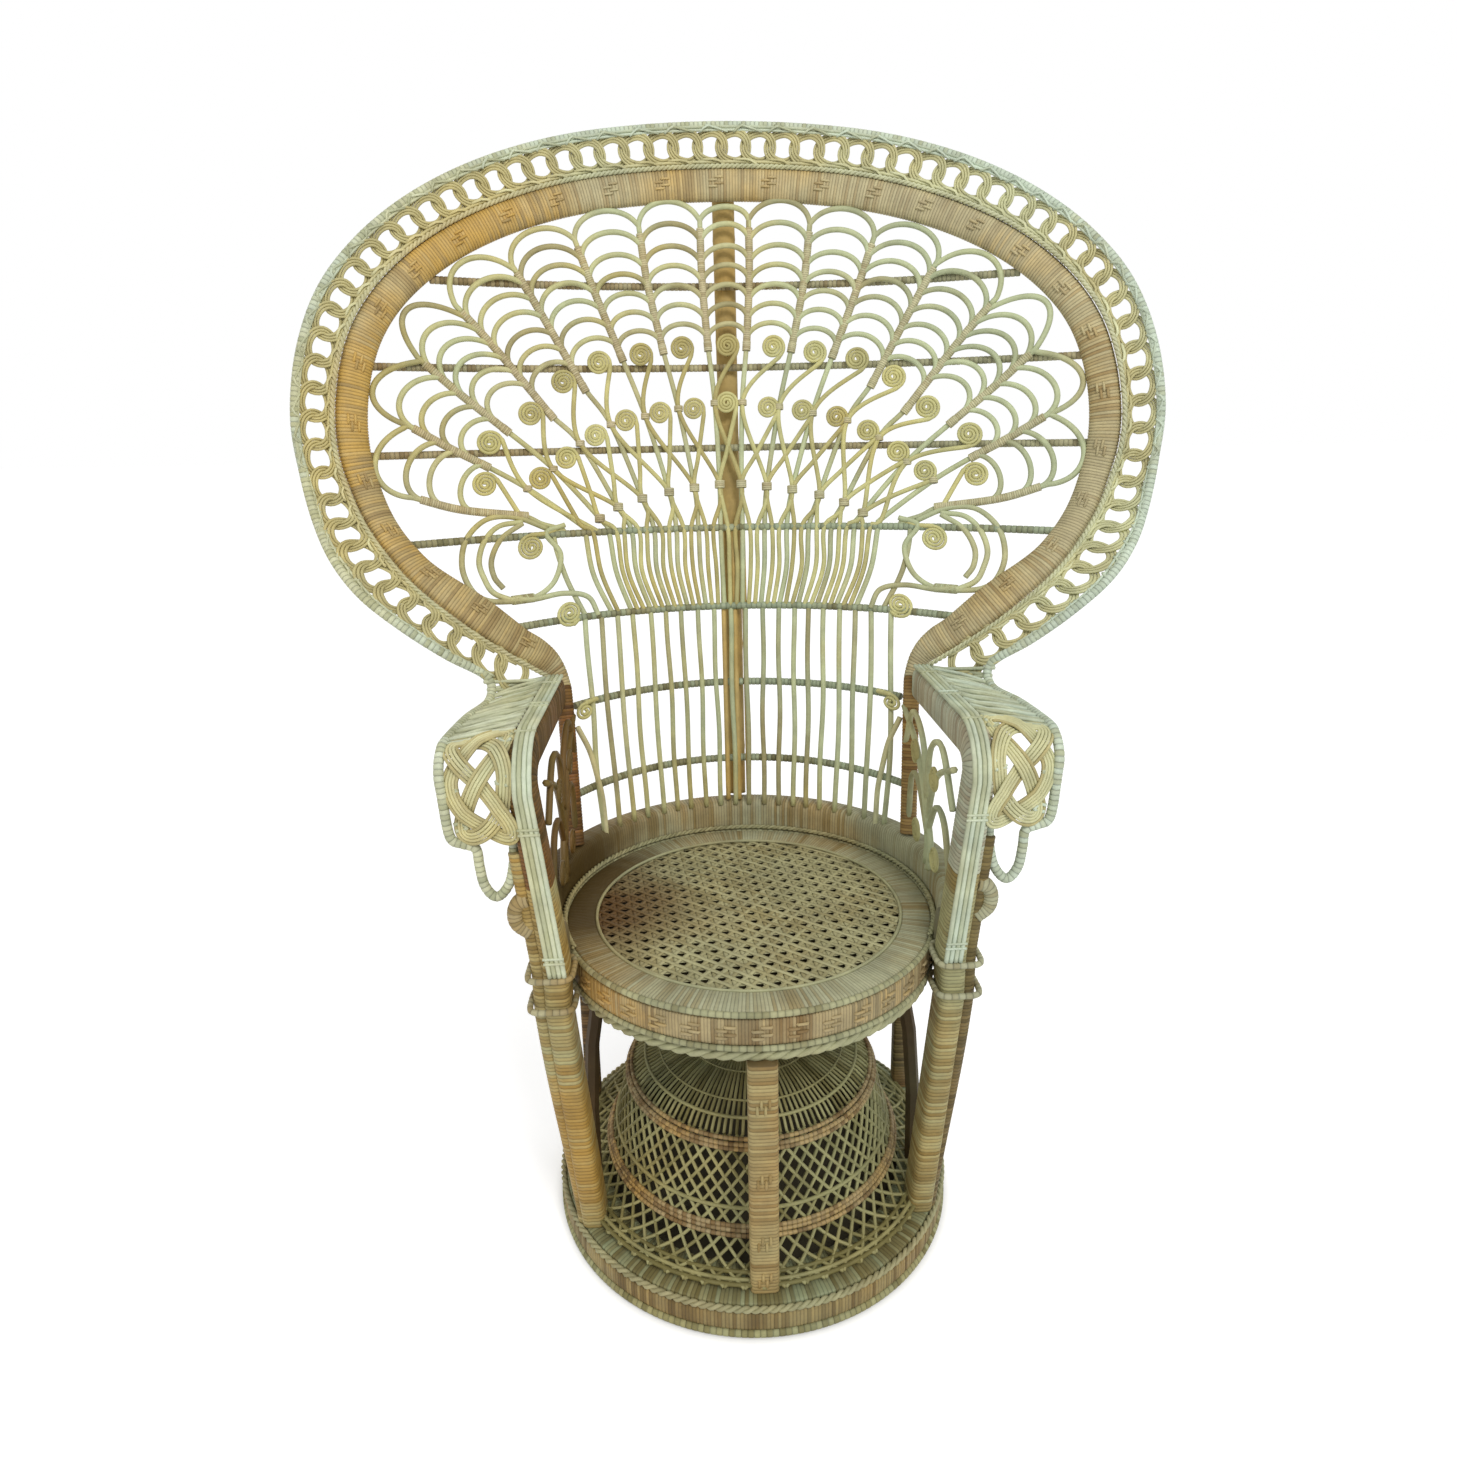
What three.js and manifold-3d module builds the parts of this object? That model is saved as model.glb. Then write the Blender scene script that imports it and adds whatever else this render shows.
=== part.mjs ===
import * as THREE from 'three';
import { mergeVertices } from 'three/addons/utils/BufferGeometryUtils.js';
import Module from 'manifold-3d';

// A peacock chair of bent, wrapped and woven rattan. Millimetres, +Z up. The sitter faces -Y,
// and +X is on the right of someone who stands in front of the chair. Until the last lines the
// origin is the point on the floor under the middle of the seat.

const wasm = await Module();
wasm.setup();

// Gap between pieces that rest on or beside each other
const gap = 0.3;

// Round base ring: a floor cane, a wrapped band, a top cane and a flat woven deck
const baseOutset = 24;
const baseCane = 10;
const baseBandHeight = 23;
const baseBandThickness = 11;
const baseTopCane = 8;
const baseDeckWidth = 54;

// Seat: woven rim round a caned panel, over a wrapped apron between two canes, with a rope edge
const seatHeight = 397;
const seatRadius = 234;
const seatCane = 8;
const seatRimWidth = 34;
const caneThickness = 4;
const canePitch = 26;
const caneHole = 13;
const caneHoleTurn = THREE.MathUtils.degToRad(7);
const caneMargin = 8;
const apronHeight = 31;
const apronThickness = 9;
const ropeSize = 12;
const ropeInset = 5;
const seatFrameWidth = 41;
const crossBarWidth = 28;
const crossBarHeight = 20;

// Curb: the wrapped wall behind the seat that carries the back
const curbRise = 43;
const curbThickness = 38;
const braidSize = 7;

// Posts under the seat
const frontPostWidth = 33;
const frontPostDepth = 22;
const frontPostInset = 18;
const rearPostDiameter = 22;
const braceDiameter = 18;
const braceClearance = 3;

// Woven dome that stands on the base deck under the seat
const domeHeight = 182;
const domeShell = 5;
const domeFoot = 3;

// The back is a curved sheet: how far behind the seat's middle it starts, how it leans, how
// tightly it wraps round the sitter at the bottom and at the top, and where it opens out
const backSetback = 230;
const backLean = THREE.MathUtils.degToRad(9.8);
const wrapRadiusLow = 250;
const wrapRadiusHigh = 870;
const wrapStart = 500;
const wrapEnd = 930;

// Hoop round the back: a wrapped band, a bead, a chain of flat loops and an outer rim
const hoopHeight = 1409;
const hoopHalfWidth = 552;
const bandThickness = 22;
const beadDiameter = 7;
const chainThickness = 8;
const chainClearance = 1;
const rimDiameter = 14;
const legWidth = 22;
const legTopDrop = 21;
const legTopOutset = 2;

// Arms: a wrapped post and rail in one bent piece, with four reeds laid along its outside
const armHeight = 666;
const armWidth = 44;
const armThickness = 30;
const armBendRadius = 56;
const armReach = 234;
const armFrontSetback = 144;
const armFootClearance = 6;
const edgingReed = 6.5;
const edgingHeight = 6;
const armWebWidth = 79;
const armWebThickness = 8;
const armWebDrop = 126;
const armWebClearance = 1.6;
const armWebJoint = 3;
const neckClearance = 1.5;

// Lattice of the back
const reed = 5.5;
const sheetThickness = 5;
const railDiameter = 9;
const railCount = 7;
const railClearance = 1.5;
const poleDiameter = 26;
const spindleMargin = 10;
const arcPitch = 36;
const scrollRadius = 15;
const smallScrollRadius = 13;
const loopStep = 7;
const loopClearance = 1.6;

// Azimuths round the seat, in radians from the front
const armAzimuth = THREE.MathUtils.degToRad(63.5);
const legAzimuth = THREE.MathUtils.degToRad(114);

// Counts
const ringSides = 24;
const featherReach = 7;
const spindlesPerSide = 10;
const domeBars = 12;
const hoopSteps = 34;
const chainCells = 2;
const railSteps = 24;

// Finishes
const finishes = {
  straw: { color: 0xb9b184, roughness: 0.72 },
  pale: { color: 0xc6c49f, roughness: 0.7 },
  wrapped: { color: 0xb1905c, roughness: 0.66 },
  base: { color: 0x86703f, roughness: 0.75 },
  shaded: { color: 0x7d7048, roughness: 0.8 },
  cane: { color: 0xa4905f, roughness: 0.7 },
  pole: { color: 0x9a7b3c, roughness: 0.6 },
};

const { lerp, smoothstep, degToRad } = THREE.MathUtils;
const chair = new THREE.Group();

function addPart(name, geometry, finish) {
  const material = new THREE.MeshStandardMaterial({ metalness: 0, ...finishes[finish] });
  const mesh = new THREE.Mesh(faceOutwards(geometry), material);
  mesh.name = name;
  chair.add(mesh);
}

// Solid tools

function signedVolume(geometry) {
  const position = geometry.getAttribute('position');
  const index = geometry.getIndex();
  const [a, b, c] = [new THREE.Vector3(), new THREE.Vector3(), new THREE.Vector3()];
  let sum = 0;
  for (let i = 0; i < index.count; i += 3) {
    a.fromBufferAttribute(position, index.getX(i));
    b.fromBufferAttribute(position, index.getX(i + 1));
    c.fromBufferAttribute(position, index.getX(i + 2));
    sum += a.dot(b.cross(c));
  }
  return sum;
}

function faceOutwards(geometry) {
  const bare = new THREE.BufferGeometry();
  bare.setAttribute('position', geometry.getAttribute('position'));
  bare.setIndex(geometry.getIndex());
  const merged = mergeVertices(bare);
  if (signedVolume(merged) < 0) merged.setIndex([...merged.getIndex().array].reverse());
  merged.computeVertexNormals();
  return merged;
}

function fuse(geometries) {
  const solids = geometries.map((geometry) => {
    const merged = faceOutwards(geometry);
    return new wasm.Manifold(new wasm.Mesh({
      numProp: 3,
      vertProperties: new Float32Array(merged.getAttribute('position').array),
      triVerts: new Uint32Array(merged.getIndex().array),
    }));
  });
  const mesh = solids.reduce((sum, solid) => sum.add(solid)).getMesh();
  const fused = new THREE.BufferGeometry();
  fused.setAttribute('position', new THREE.BufferAttribute(mesh.vertProperties, 3));
  fused.setIndex(new THREE.BufferAttribute(mesh.triVerts, 1));
  return fused;
}

function indexed(points, triangles) {
  const geometry = new THREE.BufferGeometry();
  geometry.setAttribute('position', new THREE.Float32BufferAttribute(points.flatMap((p) => p.toArray()), 3));
  geometry.setIndex(triangles);
  return geometry;
}

// A closed body through a row of sections that have the same number of corners
function loft(sections) {
  const sides = sections[0].length;
  const triangles = [];
  for (let i = 0; i < sections.length - 1; i++) {
    for (let j = 0; j < sides; j++) {
      const [a, b] = [i * sides + j, i * sides + ((j + 1) % sides)];
      triangles.push(a, a + sides, b, b, a + sides, b + sides);
    }
  }
  const last = (sections.length - 1) * sides;
  for (let j = 1; j < sides - 1; j++) {
    triangles.push(0, j, j + 1, last, last + j + 1, last + j);
  }
  return indexed(sections.flat(), triangles);
}

// A plate over a grid of points, with some cells left open. top and under are rows of points
function plate(top, under, isOpen, wraps) {
  const [rows, columns] = [top.length, top[0].length];
  const count = rows * columns;
  const cellRows = wraps ? rows : rows - 1;
  const at = (i, j) => (i % rows) * columns + j;
  const solid = (i, j) => {
    if (j < 0 || j >= columns - 1) return false;
    if (!wraps && (i < 0 || i >= cellRows)) return false;
    return !isOpen((i + cellRows) % cellRows, j);
  };
  const triangles = [];
  const wall = (a, b) => triangles.push(a, b, b + count, a, b + count, a + count);
  for (let i = 0; i < cellRows; i++) {
    for (let j = 0; j < columns - 1; j++) {
      if (!solid(i, j)) continue;
      const [a, b, c, d] = [at(i, j), at(i + 1, j), at(i + 1, j + 1), at(i, j + 1)];
      triangles.push(a, c, b, a, d, c);
      triangles.push(a + count, b + count, c + count, a + count, c + count, d + count);
      if (!solid(i, j - 1)) wall(a, b);
      if (!solid(i, j + 1)) wall(c, d);
      if (!solid(i + 1, j)) wall(b, c);
      if (!solid(i - 1, j)) wall(d, a);
    }
  }
  return indexed([...top.flat(), ...under.flat()], triangles);
}

// A ring round the vertical axis, from a closed outline of [radius, height] corners
function ring(outline) {
  const points = [...outline, outline[0]].map(([radius, height]) => new THREE.Vector2(radius, height));
  return new THREE.LatheGeometry(points, ringSides).rotateX(Math.PI / 2);
}

function flatRing(inner, outer, bottom, top) {
  return ring([[inner, bottom], [outer, bottom], [outer, top], [inner, top]]);
}

// A cane bent to a ring: flat below and above, blunt at the sides
function roundRing(inner, outer, bottom, top) {
  const [middle, chamfer] = [(bottom + top) / 2, (outer - inner) / 4];
  return ring([
    [inner, middle], [inner + chamfer, bottom], [outer - chamfer, bottom],
    [outer, middle], [outer - chamfer, top], [inner + chamfer, top],
  ]);
}

// A place on a ring's sides, which are straight between its corners
function onRing(radius, turn, z) {
  const side = (2 * Math.PI) / ringSides;
  const within = turn - side * (Math.floor(turn / side) + 0.5);
  const reach = (radius * Math.cos(side / 2)) / Math.cos(within);
  return new THREE.Vector3(reach * Math.sin(turn), -reach * Math.cos(turn), z);
}

// A wall that follows a ring round the back, open at the front between two azimuths
function arcWall(inner, outer, bottom, top, azimuth) {
  const side = (2 * Math.PI) / ringSides;
  const turns = [azimuth];
  for (let i = 0; i < ringSides; i++) {
    if (i * side > azimuth && i * side < 2 * Math.PI - azimuth) turns.push(i * side);
  }
  turns.push(2 * Math.PI - azimuth);
  return loft(turns.map((turn) => [
    onRing(inner, turn, bottom), onRing(outer, turn, bottom),
    onRing(outer, turn, top), onRing(inner, turn, top),
  ]));
}

// A cane of even thickness along a line of points
function sweep(points, diameter, sides) {
  const directionAt = (i) => {
    const before = points[Math.max(i - 1, 0)];
    const after = points[Math.min(i + 1, points.length - 1)];
    return after.clone().sub(before).normalize();
  };
  const across = new THREE.Vector3(0, 1, 0);
  const sections = points.map((point, i) => {
    const along = directionAt(i);
    across.addScaledVector(along, -across.dot(along)).normalize();
    const other = along.clone().cross(across);
    return Array.from({ length: sides }, (_, k) => {
      const turn = (2 * Math.PI * (k + 0.5)) / sides;
      return point.clone()
        .addScaledVector(across, Math.cos(turn) * diameter / 2)
        .addScaledVector(other, Math.sin(turn) * diameter / 2);
    });
  });
  return loft(sections);
}

// Levels of the seat, from the top down

const deckBottom = seatHeight - seatCane;
const apronTop = deckBottom - gap;
const apronBottom = apronTop - apronHeight;
const lowerCaneTop = apronBottom - gap;
const lowerCaneBottom = lowerCaneTop - seatCane;
const ropeTop = lowerCaneBottom - gap;
const ropeBottom = ropeTop - ropeSize;
const curbTop = seatHeight + curbRise;
const curbInner = seatRadius + gap;
const caneRadius = seatRadius - seatCane - seatRimWidth;
const armWebBottom = armHeight - armWebDrop;

// Levels of the base

const baseRadius = seatRadius + baseOutset;
const baseBandBottom = baseCane + gap;
const baseBandTop = baseBandBottom + baseBandHeight;
const baseDeckBottom = baseBandTop + gap;
const baseDeckTop = baseDeckBottom + baseTopCane;
const domeFootRadius = baseRadius - baseTopCane - baseDeckWidth + 2 * domeFoot;

// Curved sheet of the back: depth behind the seat's middle at a place across and up

function backDepth(x, z) {
  const opening = smoothstep(z, wrapStart, wrapEnd);
  const bend = x * lerp(1 / wrapRadiusLow, 1 / wrapRadiusHigh, opening);
  const wrap = x * (bend / 2 + bend ** 3 / 8 + bend ** 5 / 16);
  return backSetback + Math.tan(backLean) * (z - seatHeight) - wrap;
}

function onBack(x, z, behind = 0) {
  return new THREE.Vector3(x, backDepth(x, z) + behind, z);
}

// Lays a flat pattern, drawn across and up, onto the back
function layOnBack(geometry, behind = 0) {
  const position = geometry.getAttribute('position');
  for (let i = 0; i < position.count; i++) {
    const [x, z, depth] = [position.getX(i), position.getY(i), position.getZ(i)];
    position.setXYZ(i, x, backDepth(x, z) + depth + behind, z);
  }
  return geometry;
}

// Flat patterns: a reed along a line of points, a disc and a closed loop

function strip(points, width, thickness) {
  const sides = [[], []];
  points.forEach((point, i) => {
    const before = points[Math.max(i - 1, 0)];
    const after = points[Math.min(i + 1, points.length - 1)];
    const incoming = point.clone().sub(before).normalize();
    const outgoing = after.clone().sub(point).normalize();
    if (i === 0) incoming.copy(outgoing);
    if (i === points.length - 1) outgoing.copy(incoming);
    const along = incoming.clone().add(outgoing).normalize();
    const across = new THREE.Vector2(-along.y, along.x);
    const reach = width / 2 / along.dot(incoming);
    sides[0].push(point.clone().addScaledVector(across, reach));
    sides[1].unshift(point.clone().addScaledVector(across, -reach));
  });
  const shape = new THREE.Shape([...sides[0], ...sides[1]]);
  return extrudeFlat(shape, thickness);
}

function extrudeFlat(shape, thickness, curveSegments = 3) {
  const options = { depth: thickness, bevelEnabled: false, curveSegments };
  return new THREE.ExtrudeGeometry(shape, options).translate(0, 0, -thickness / 2);
}

function disc(centre, radius, thickness) {
  const shape = new THREE.Shape().absarc(centre.x, centre.y, radius, 0, 2 * Math.PI, false);
  return extrudeFlat(shape, thickness);
}

function flatLoop(centre, radius, width, thickness) {
  const shape = new THREE.Shape().absarc(centre.x, centre.y, radius + width / 2, 0, 2 * Math.PI, false);
  shape.holes.push(new THREE.Path().absarc(centre.x, centre.y, radius - width / 2, 0, 2 * Math.PI, true));
  return extrudeFlat(shape, thickness, 6);
}

// Outlines of the hoop on the back, from the top to the neck on one side. Each pair is a share
// across and a share of the way up from the arms. In the crown the first is a share of the half
// width, and in the flank a share of the way from the arm out to the half width
const rimCrownShares = [
  [0, 1], [0.351, 0.9755], [0.623, 0.9047],
  [0.828, 0.7916], [0.957, 0.6418], [1, 0.447],
];
const rimFlankShares = [[0.9306, 0.2877], [0.7518, 0.1841], [0.4845, 0.0888], [0.2414, 0.0057]];
const beadCrownShares = [
  [0, 0.9169], [0.325, 0.8965], [0.576, 0.8352],
  [0.765, 0.7398], [0.884, 0.6118], [0.924, 0.447],
];
const beadFlankShares = [[0.8108, 0.3149], [0.6389, 0.2073], [0.3872, 0.1065], [0.0731, -0.0025]];
const bandCrownShares = [
  [0, 0.8515], [0.302, 0.8338], [0.535, 0.7821],
  [0.711, 0.699], [0.821, 0.59], [0.859, 0.447],
];
const bandFlankShares = [[0.7049, 0.3149], [0.5469, 0.2155], [0.2866, 0.1283], [-0.0103, 0.0084]];

function hoopOutline(crownShares, flankShares) {
  const place = (x, up) => new THREE.Vector3(x, lerp(armHeight, hoopHeight, up), 0);
  const right = [
    ...crownShares.map(([across, up]) => place(across * hoopHalfWidth, up)),
    ...flankShares.map(([across, up]) => place(lerp(armReach, hoopHalfWidth, across), up)),
  ];
  const left = right.slice(1).reverse().map((p) => new THREE.Vector3(-p.x, p.y, 0));
  return new THREE.CatmullRomCurve3([...left, ...right], false, 'catmullrom');
}

const rimOutline = hoopOutline(rimCrownShares, rimFlankShares);
const beadOutline = hoopOutline(beadCrownShares, beadFlankShares);
const bandOutline = hoopOutline(bandCrownShares, bandFlankShares);
// Places along the hoop are counted in steps. The band, the bead, the chain and the rim all turn
// at whole steps, and the chain and the rim meet the arms one step from each end
const firstStep = 1;
const lastStep = hoopSteps - 1;

function hoopPoint(outline, share) {
  const flat = outline.getPoint(share);
  return onBack(flat.x, flat.y);
}

// Centre line of the bead, just outside the band as seen from the front
function beadCentre(step) {
  const flat = beadOutline.getPoint(step / hoopSteps);
  const along = beadOutline.getTangent(step / hoopSteps);
  const reach = beadDiameter / 2 + 2 * gap;
  return onBack(flat.x - along.y * reach, flat.y + along.x * reach);
}

function rimCentre(step) {
  const outer = hoopPoint(rimOutline, step / hoopSteps);
  const inward = beadCentre(step).sub(outer).normalize();
  return outer.addScaledVector(inward, rimDiameter / 2);
}

// How far from the middle of a cane an edge beside it starts, measured on a slant across it
function clearOf(along, outward, diameter) {
  const slant = along.clone().normalize().cross(outward).length();
  return (diameter / 2 + chainClearance) / slant;
}

// The strip between bead and rim at a whole step: its two edges and the direction it faces
function webStation(step) {
  const [bead, rim] = [beadCentre(step), rimCentre(step)];
  const outward = rim.clone().sub(bead).normalize();
  const [before, after] = [Math.max(step - 1, 0), Math.min(step + 1, hoopSteps)];
  const along = beadCentre(after).sub(beadCentre(before));
  const rimAlong = rimCentre(after).sub(rimCentre(before));
  return {
    inner: bead.addScaledVector(outward, clearOf(along, outward, beadDiameter)),
    outer: rim.addScaledVector(outward, -clearOf(rimAlong, outward, rimDiameter)),
    facing: along.cross(outward).normalize(),
  };
}

const bandTop = hoopPoint(bandOutline, 0.5).z;
const legInsetShare = 0.66;
const legFootRadius = curbInner + legWidth * legInsetShare;
const legFoot = new THREE.Vector3(
  legFootRadius * Math.sin(legAzimuth), -legFootRadius * Math.cos(legAzimuth), curbTop + gap);
const legTop = onBack(armReach + legTopOutset, armHeight - legTopDrop);

function legAt(z) {
  return legFoot.clone().lerp(legTop, (z - legFoot.z) / (legTop.z - legFoot.z));
}

// Widest reach of the lattice at a height: to the inner edge of the band, above the neck
function innerReach(z) {
  const samples = [];
  for (let step = hoopSteps / 2; step <= hoopSteps; step++) {
    samples.push(bandOutline.getPoint(step / hoopSteps));
  }
  for (let i = 0; i < samples.length - 1; i++) {
    const [upper, lower] = [samples[i], samples[i + 1]];
    if (upper.y >= z && z >= lower.y) return lerp(upper.x, lower.x, (z - upper.y) / (lower.y - upper.y));
  }
  return samples.at(-1).x;
}

// Base

function buildBase() {
  addPart('base_floor_cane', roundRing(baseRadius - baseCane * 1.2, baseRadius, 0, baseCane), 'base');
  const bandOuter = baseRadius - baseCane / 4;
  const bandInner = bandOuter - baseBandThickness;
  addPart('base_band', flatRing(bandInner, bandOuter, baseBandBottom, baseBandTop), 'base');
  const topInner = baseRadius - baseTopCane;
  addPart('base_top_cane', roundRing(topInner, baseRadius, baseDeckBottom, baseDeckTop), 'pale');
  const deckOuter = topInner - gap;
  addPart('base_deck', flatRing(deckOuter - baseDeckWidth, deckOuter, baseDeckBottom, baseDeckTop), 'base');
}

// Dome: a woven shell in radial bars and ring bands. Each pair is a share of the foot radius and
// a share of the height; odd bands between the pairs are the open ones
const domeShares = [
  [0.14, 1], [0.2, 0.99], [0.72, 0.81], [0.79, 0.72], [0.865, 0.33], [0.915, 0.2], [0.965, 0.06], [1, 0],
];

function buildDome() {
  const footHeight = baseDeckTop + gap;
  const barShare = 0.36;
  const rowsOf = (inset) => {
    const rows = [];
    for (let i = 0; i < domeBars; i++) {
      for (const share of [0, barShare]) {
        const turn = (2 * Math.PI * (i + share)) / domeBars;
        rows.push(domeShares.map(([across, up]) => {
          const radius = across * domeFootRadius - inset;
          const drop = inset * (1 - across) * Math.sign(up);
          return new THREE.Vector3(Math.cos(turn) * radius, Math.sin(turn) * radius,
            footHeight + up * domeHeight - drop);
        }));
      }
    }
    return rows;
  };
  const isOpen = (i, j) => i % 2 === 1 && j % 2 === 1 && j < domeShares.length - 2;
  addPart('dome_skirt', plate(rowsOf(0), rowsOf(domeShell), isOpen, true), 'shaded');
}

// Posts and bent braces between base and seat

function buildPosts() {
  const [bottom, top] = [baseDeckTop + gap, ropeBottom - gap];
  const frontPost = new THREE.BoxGeometry(frontPostWidth, frontPostDepth, top - bottom);
  const frontY = -(seatRadius - frontPostInset + frontPostDepth / 2);
  addPart('front_post', frontPost.translate(0, frontY, (bottom + top) / 2), 'wrapped');
  const rearTop = lowerCaneBottom - gap;
  const rearRadius = curbInner + rearPostDiameter / 2;
  for (const [name, side] of [['left', -1], ['right', 1]]) {
    const post = new THREE.CylinderGeometry(rearPostDiameter / 2, rearPostDiameter / 2, rearTop - bottom, 8);
    post.rotateX(Math.PI / 2);
    post.translate(side * rearRadius * Math.sin(legAzimuth), -rearRadius * Math.cos(legAzimuth),
      (rearTop + bottom) / 2);
    addPart(`rear_post_${name}`, post, 'shaded');
    addPart(`arch_brace_${name}`, archBrace(side, bottom, rearTop), 'shaded');
  }
}

// A bent pole that rises beside the dome and leans in under the seat frame. Each triple is a
// share of the radius of its foot, an azimuth in degrees and a share of the height
const braceShares = [
  [1, 75, 0], [1, 75, 0.1], [0.994, 77, 0.35], [0.964, 80, 0.62], [0.904, 84, 0.85], [0.855, 86, 1],
];

function archBrace(side, bottom, top) {
  const footRadius = domeFootRadius + braceClearance + braceDiameter / 2;
  const points = braceShares.map(([out, azimuth, up]) => {
    const [radius, turn] = [out * footRadius, degToRad(azimuth)];
    return new THREE.Vector3(side * radius * Math.sin(turn), -radius * Math.cos(turn),
      lerp(bottom, top - braceDiameter / 4, up));
  });
  return sweep(points, braceDiameter, 6);
}

// Seat

function buildSeat() {
  const deckOuter = seatRadius - seatCane;
  const frameOuter = seatRadius - apronThickness - ropeInset + gap;
  const frameInner = frameOuter - seatFrameWidth;
  addPart('seat_rim', flatRing(caneRadius + gap, deckOuter - gap, deckBottom, seatHeight), 'cane');
  addPart('seat_upper_cane', roundRing(deckOuter, seatRadius, deckBottom, seatHeight), 'pale');
  const apronOuter = seatRadius - seatCane / 4;
  addPart('apron_band', flatRing(apronOuter - apronThickness, apronOuter, apronBottom, apronTop), 'wrapped');
  addPart('seat_lower_cane', roundRing(deckOuter, seatRadius, lowerCaneBottom, lowerCaneTop), 'pale');
  const ropeOuter = seatRadius - ropeInset;
  addPart('seat_rope_edge', roundRing(ropeOuter - ropeSize, ropeOuter, ropeBottom, ropeTop), 'pale');
  addPart('seat_frame', flatRing(frameInner, frameOuter - gap, lowerCaneBottom, apronTop), 'shaded');
  addPart('cane_panel', canePanel(deckBottom), 'cane');
  addPart('seat_cross_bars', crossBars(frameInner - gap), 'shaded');
}

// The cane sheet has a square mesh of openings inside its border
function canePanel(bottom) {
  const sheet = new THREE.Shape().absarc(0, 0, caneRadius, 0, 2 * Math.PI, false);
  const reach = caneRadius - caneMargin - caneHole;
  const count = Math.floor(reach / canePitch);
  for (let i = -count - 1; i <= count; i++) {
    for (let j = -count - 1; j <= count; j++) {
      const [x, y] = [(i + 0.5) * canePitch, (j + 0.5) * canePitch];
      if (Math.hypot(x, y) > reach) continue;
      const corners = Array.from({ length: 4 }, (_, k) => {
        const turn = caneHoleTurn - ((k + 0.5) * Math.PI) / 2;
        const corner = new THREE.Vector2(Math.cos(turn), Math.sin(turn));
        return corner.multiplyScalar(caneHole / Math.SQRT2).add(new THREE.Vector2(x, y));
      });
      sheet.holes.push(new THREE.Path(corners));
    }
  }
  const options = { depth: caneThickness, bevelEnabled: false, curveSegments: ringSides / 2 };
  return new THREE.ExtrudeGeometry(sheet, options).translate(0, 0, bottom + gap);
}

function crossBars(radius) {
  const reach = radius - (crossBarWidth / 2) * Math.tan(Math.PI / ringSides);
  const long = new THREE.BoxGeometry(2 * reach, crossBarWidth, crossBarHeight);
  const across = new THREE.BoxGeometry(crossBarWidth, 2 * reach, crossBarHeight);
  return fuse([long, across]).translate(0, 0, lowerCaneBottom + crossBarHeight / 2);
}

// Curb and the braid at its foot. Both end behind the arm posts

function buildCurb() {
  const outer = curbInner + curbThickness;
  const postReach = Math.max(postRear(seatHeight), postRear(curbTop)) + gap;
  const azimuth = Math.acos(-postReach / outer) + gap / outer;
  addPart('back_curb', arcWall(curbInner, outer, lowerCaneBottom, curbTop, azimuth), 'wrapped');
  const [braidInner, braidBottom] = [seatRadius - braidSize, seatHeight + gap];
  const braid = arcWall(braidInner, seatRadius, braidBottom, braidBottom + braidSize, azimuth);
  addPart('curb_braid', braid, 'pale');
}

// Hoop

function buildHoop() {
  addPart('hoop_band', loft(bandSections()), 'wrapped');
  const beadPoints = [];
  for (let step = firstStep; step <= lastStep; step++) beadPoints.push(beadCentre(step));
  addPart('hoop_bead', sweep(beadPoints, beadDiameter, 6), 'pale');
  addPart('hoop_chain', chainPlate(), 'straw');
  addPart('hoop_rim', sweep(rimPath(), rimDiameter, 6), 'pale');
}

// The band runs between two outlines and ends in a leg on each side, down to the curb
function bandSections() {
  const half = new THREE.Vector3(0, bandThickness / 2, 0);
  const legHalf = new THREE.Vector3(0, legWidth / 2, 0);
  const section = (inner, outer, thick) => [
    inner.clone().sub(thick), inner.clone().add(thick), outer.clone().add(thick), outer.clone().sub(thick),
  ];
  const leg = (end, side) => {
    const reach = side * end.x;
    const inner = new THREE.Vector3(reach - side * legWidth / 2, end.y, end.z);
    const outer = new THREE.Vector3(reach + side * legWidth / 2, end.y, end.z);
    return section(inner, outer, legHalf);
  };
  const sections = [leg(legFoot, -1), leg(legTop, -1)];
  for (let i = 0; i <= hoopSteps; i++) {
    const share = i / hoopSteps;
    sections.push(section(hoopPoint(bandOutline, share), hoopPoint(beadOutline, share), half));
  }
  sections.push(leg(legTop, 1), leg(legFoot, 1));
  return sections;
}

// Points of a strip at some shares of its width, on its front or its back
function stripRow(station, shares, thickness) {
  const { inner, outer, facing } = station;
  return shares.map((share) => inner.clone().lerp(outer, share).addScaledVector(facing, thickness / 2));
}

// Each step of the chain is cut into cells, and every second cell is open
function chainPlate() {
  const crossShares = [0, 0.2, 0.8, 1];
  const [top, under] = [[], []];
  const count = (lastStep - firstStep) * chainCells;
  for (let i = 0; i <= count; i++) {
    const step = Math.min(firstStep + Math.floor(i / chainCells), lastStep - 1);
    const share = i / chainCells - (step - firstStep);
    const [from, to] = [webStation(step), webStation(step + 1)];
    for (const [rows, thickness] of [[top, chainThickness], [under, -chainThickness]]) {
      const end = stripRow(to, crossShares, thickness);
      rows.push(stripRow(from, crossShares, thickness).map((point, j) => point.lerp(end[j], share)));
    }
  }
  return plate(top, under, (i, j) => i % 2 === 1 && j === 1 && i < count - 1, false);
}

// Arms. Each station is on the outside of the bend: the reach of the inner face, the place, the
// way the outside faces there, and its share of the run from foot to neck

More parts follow.
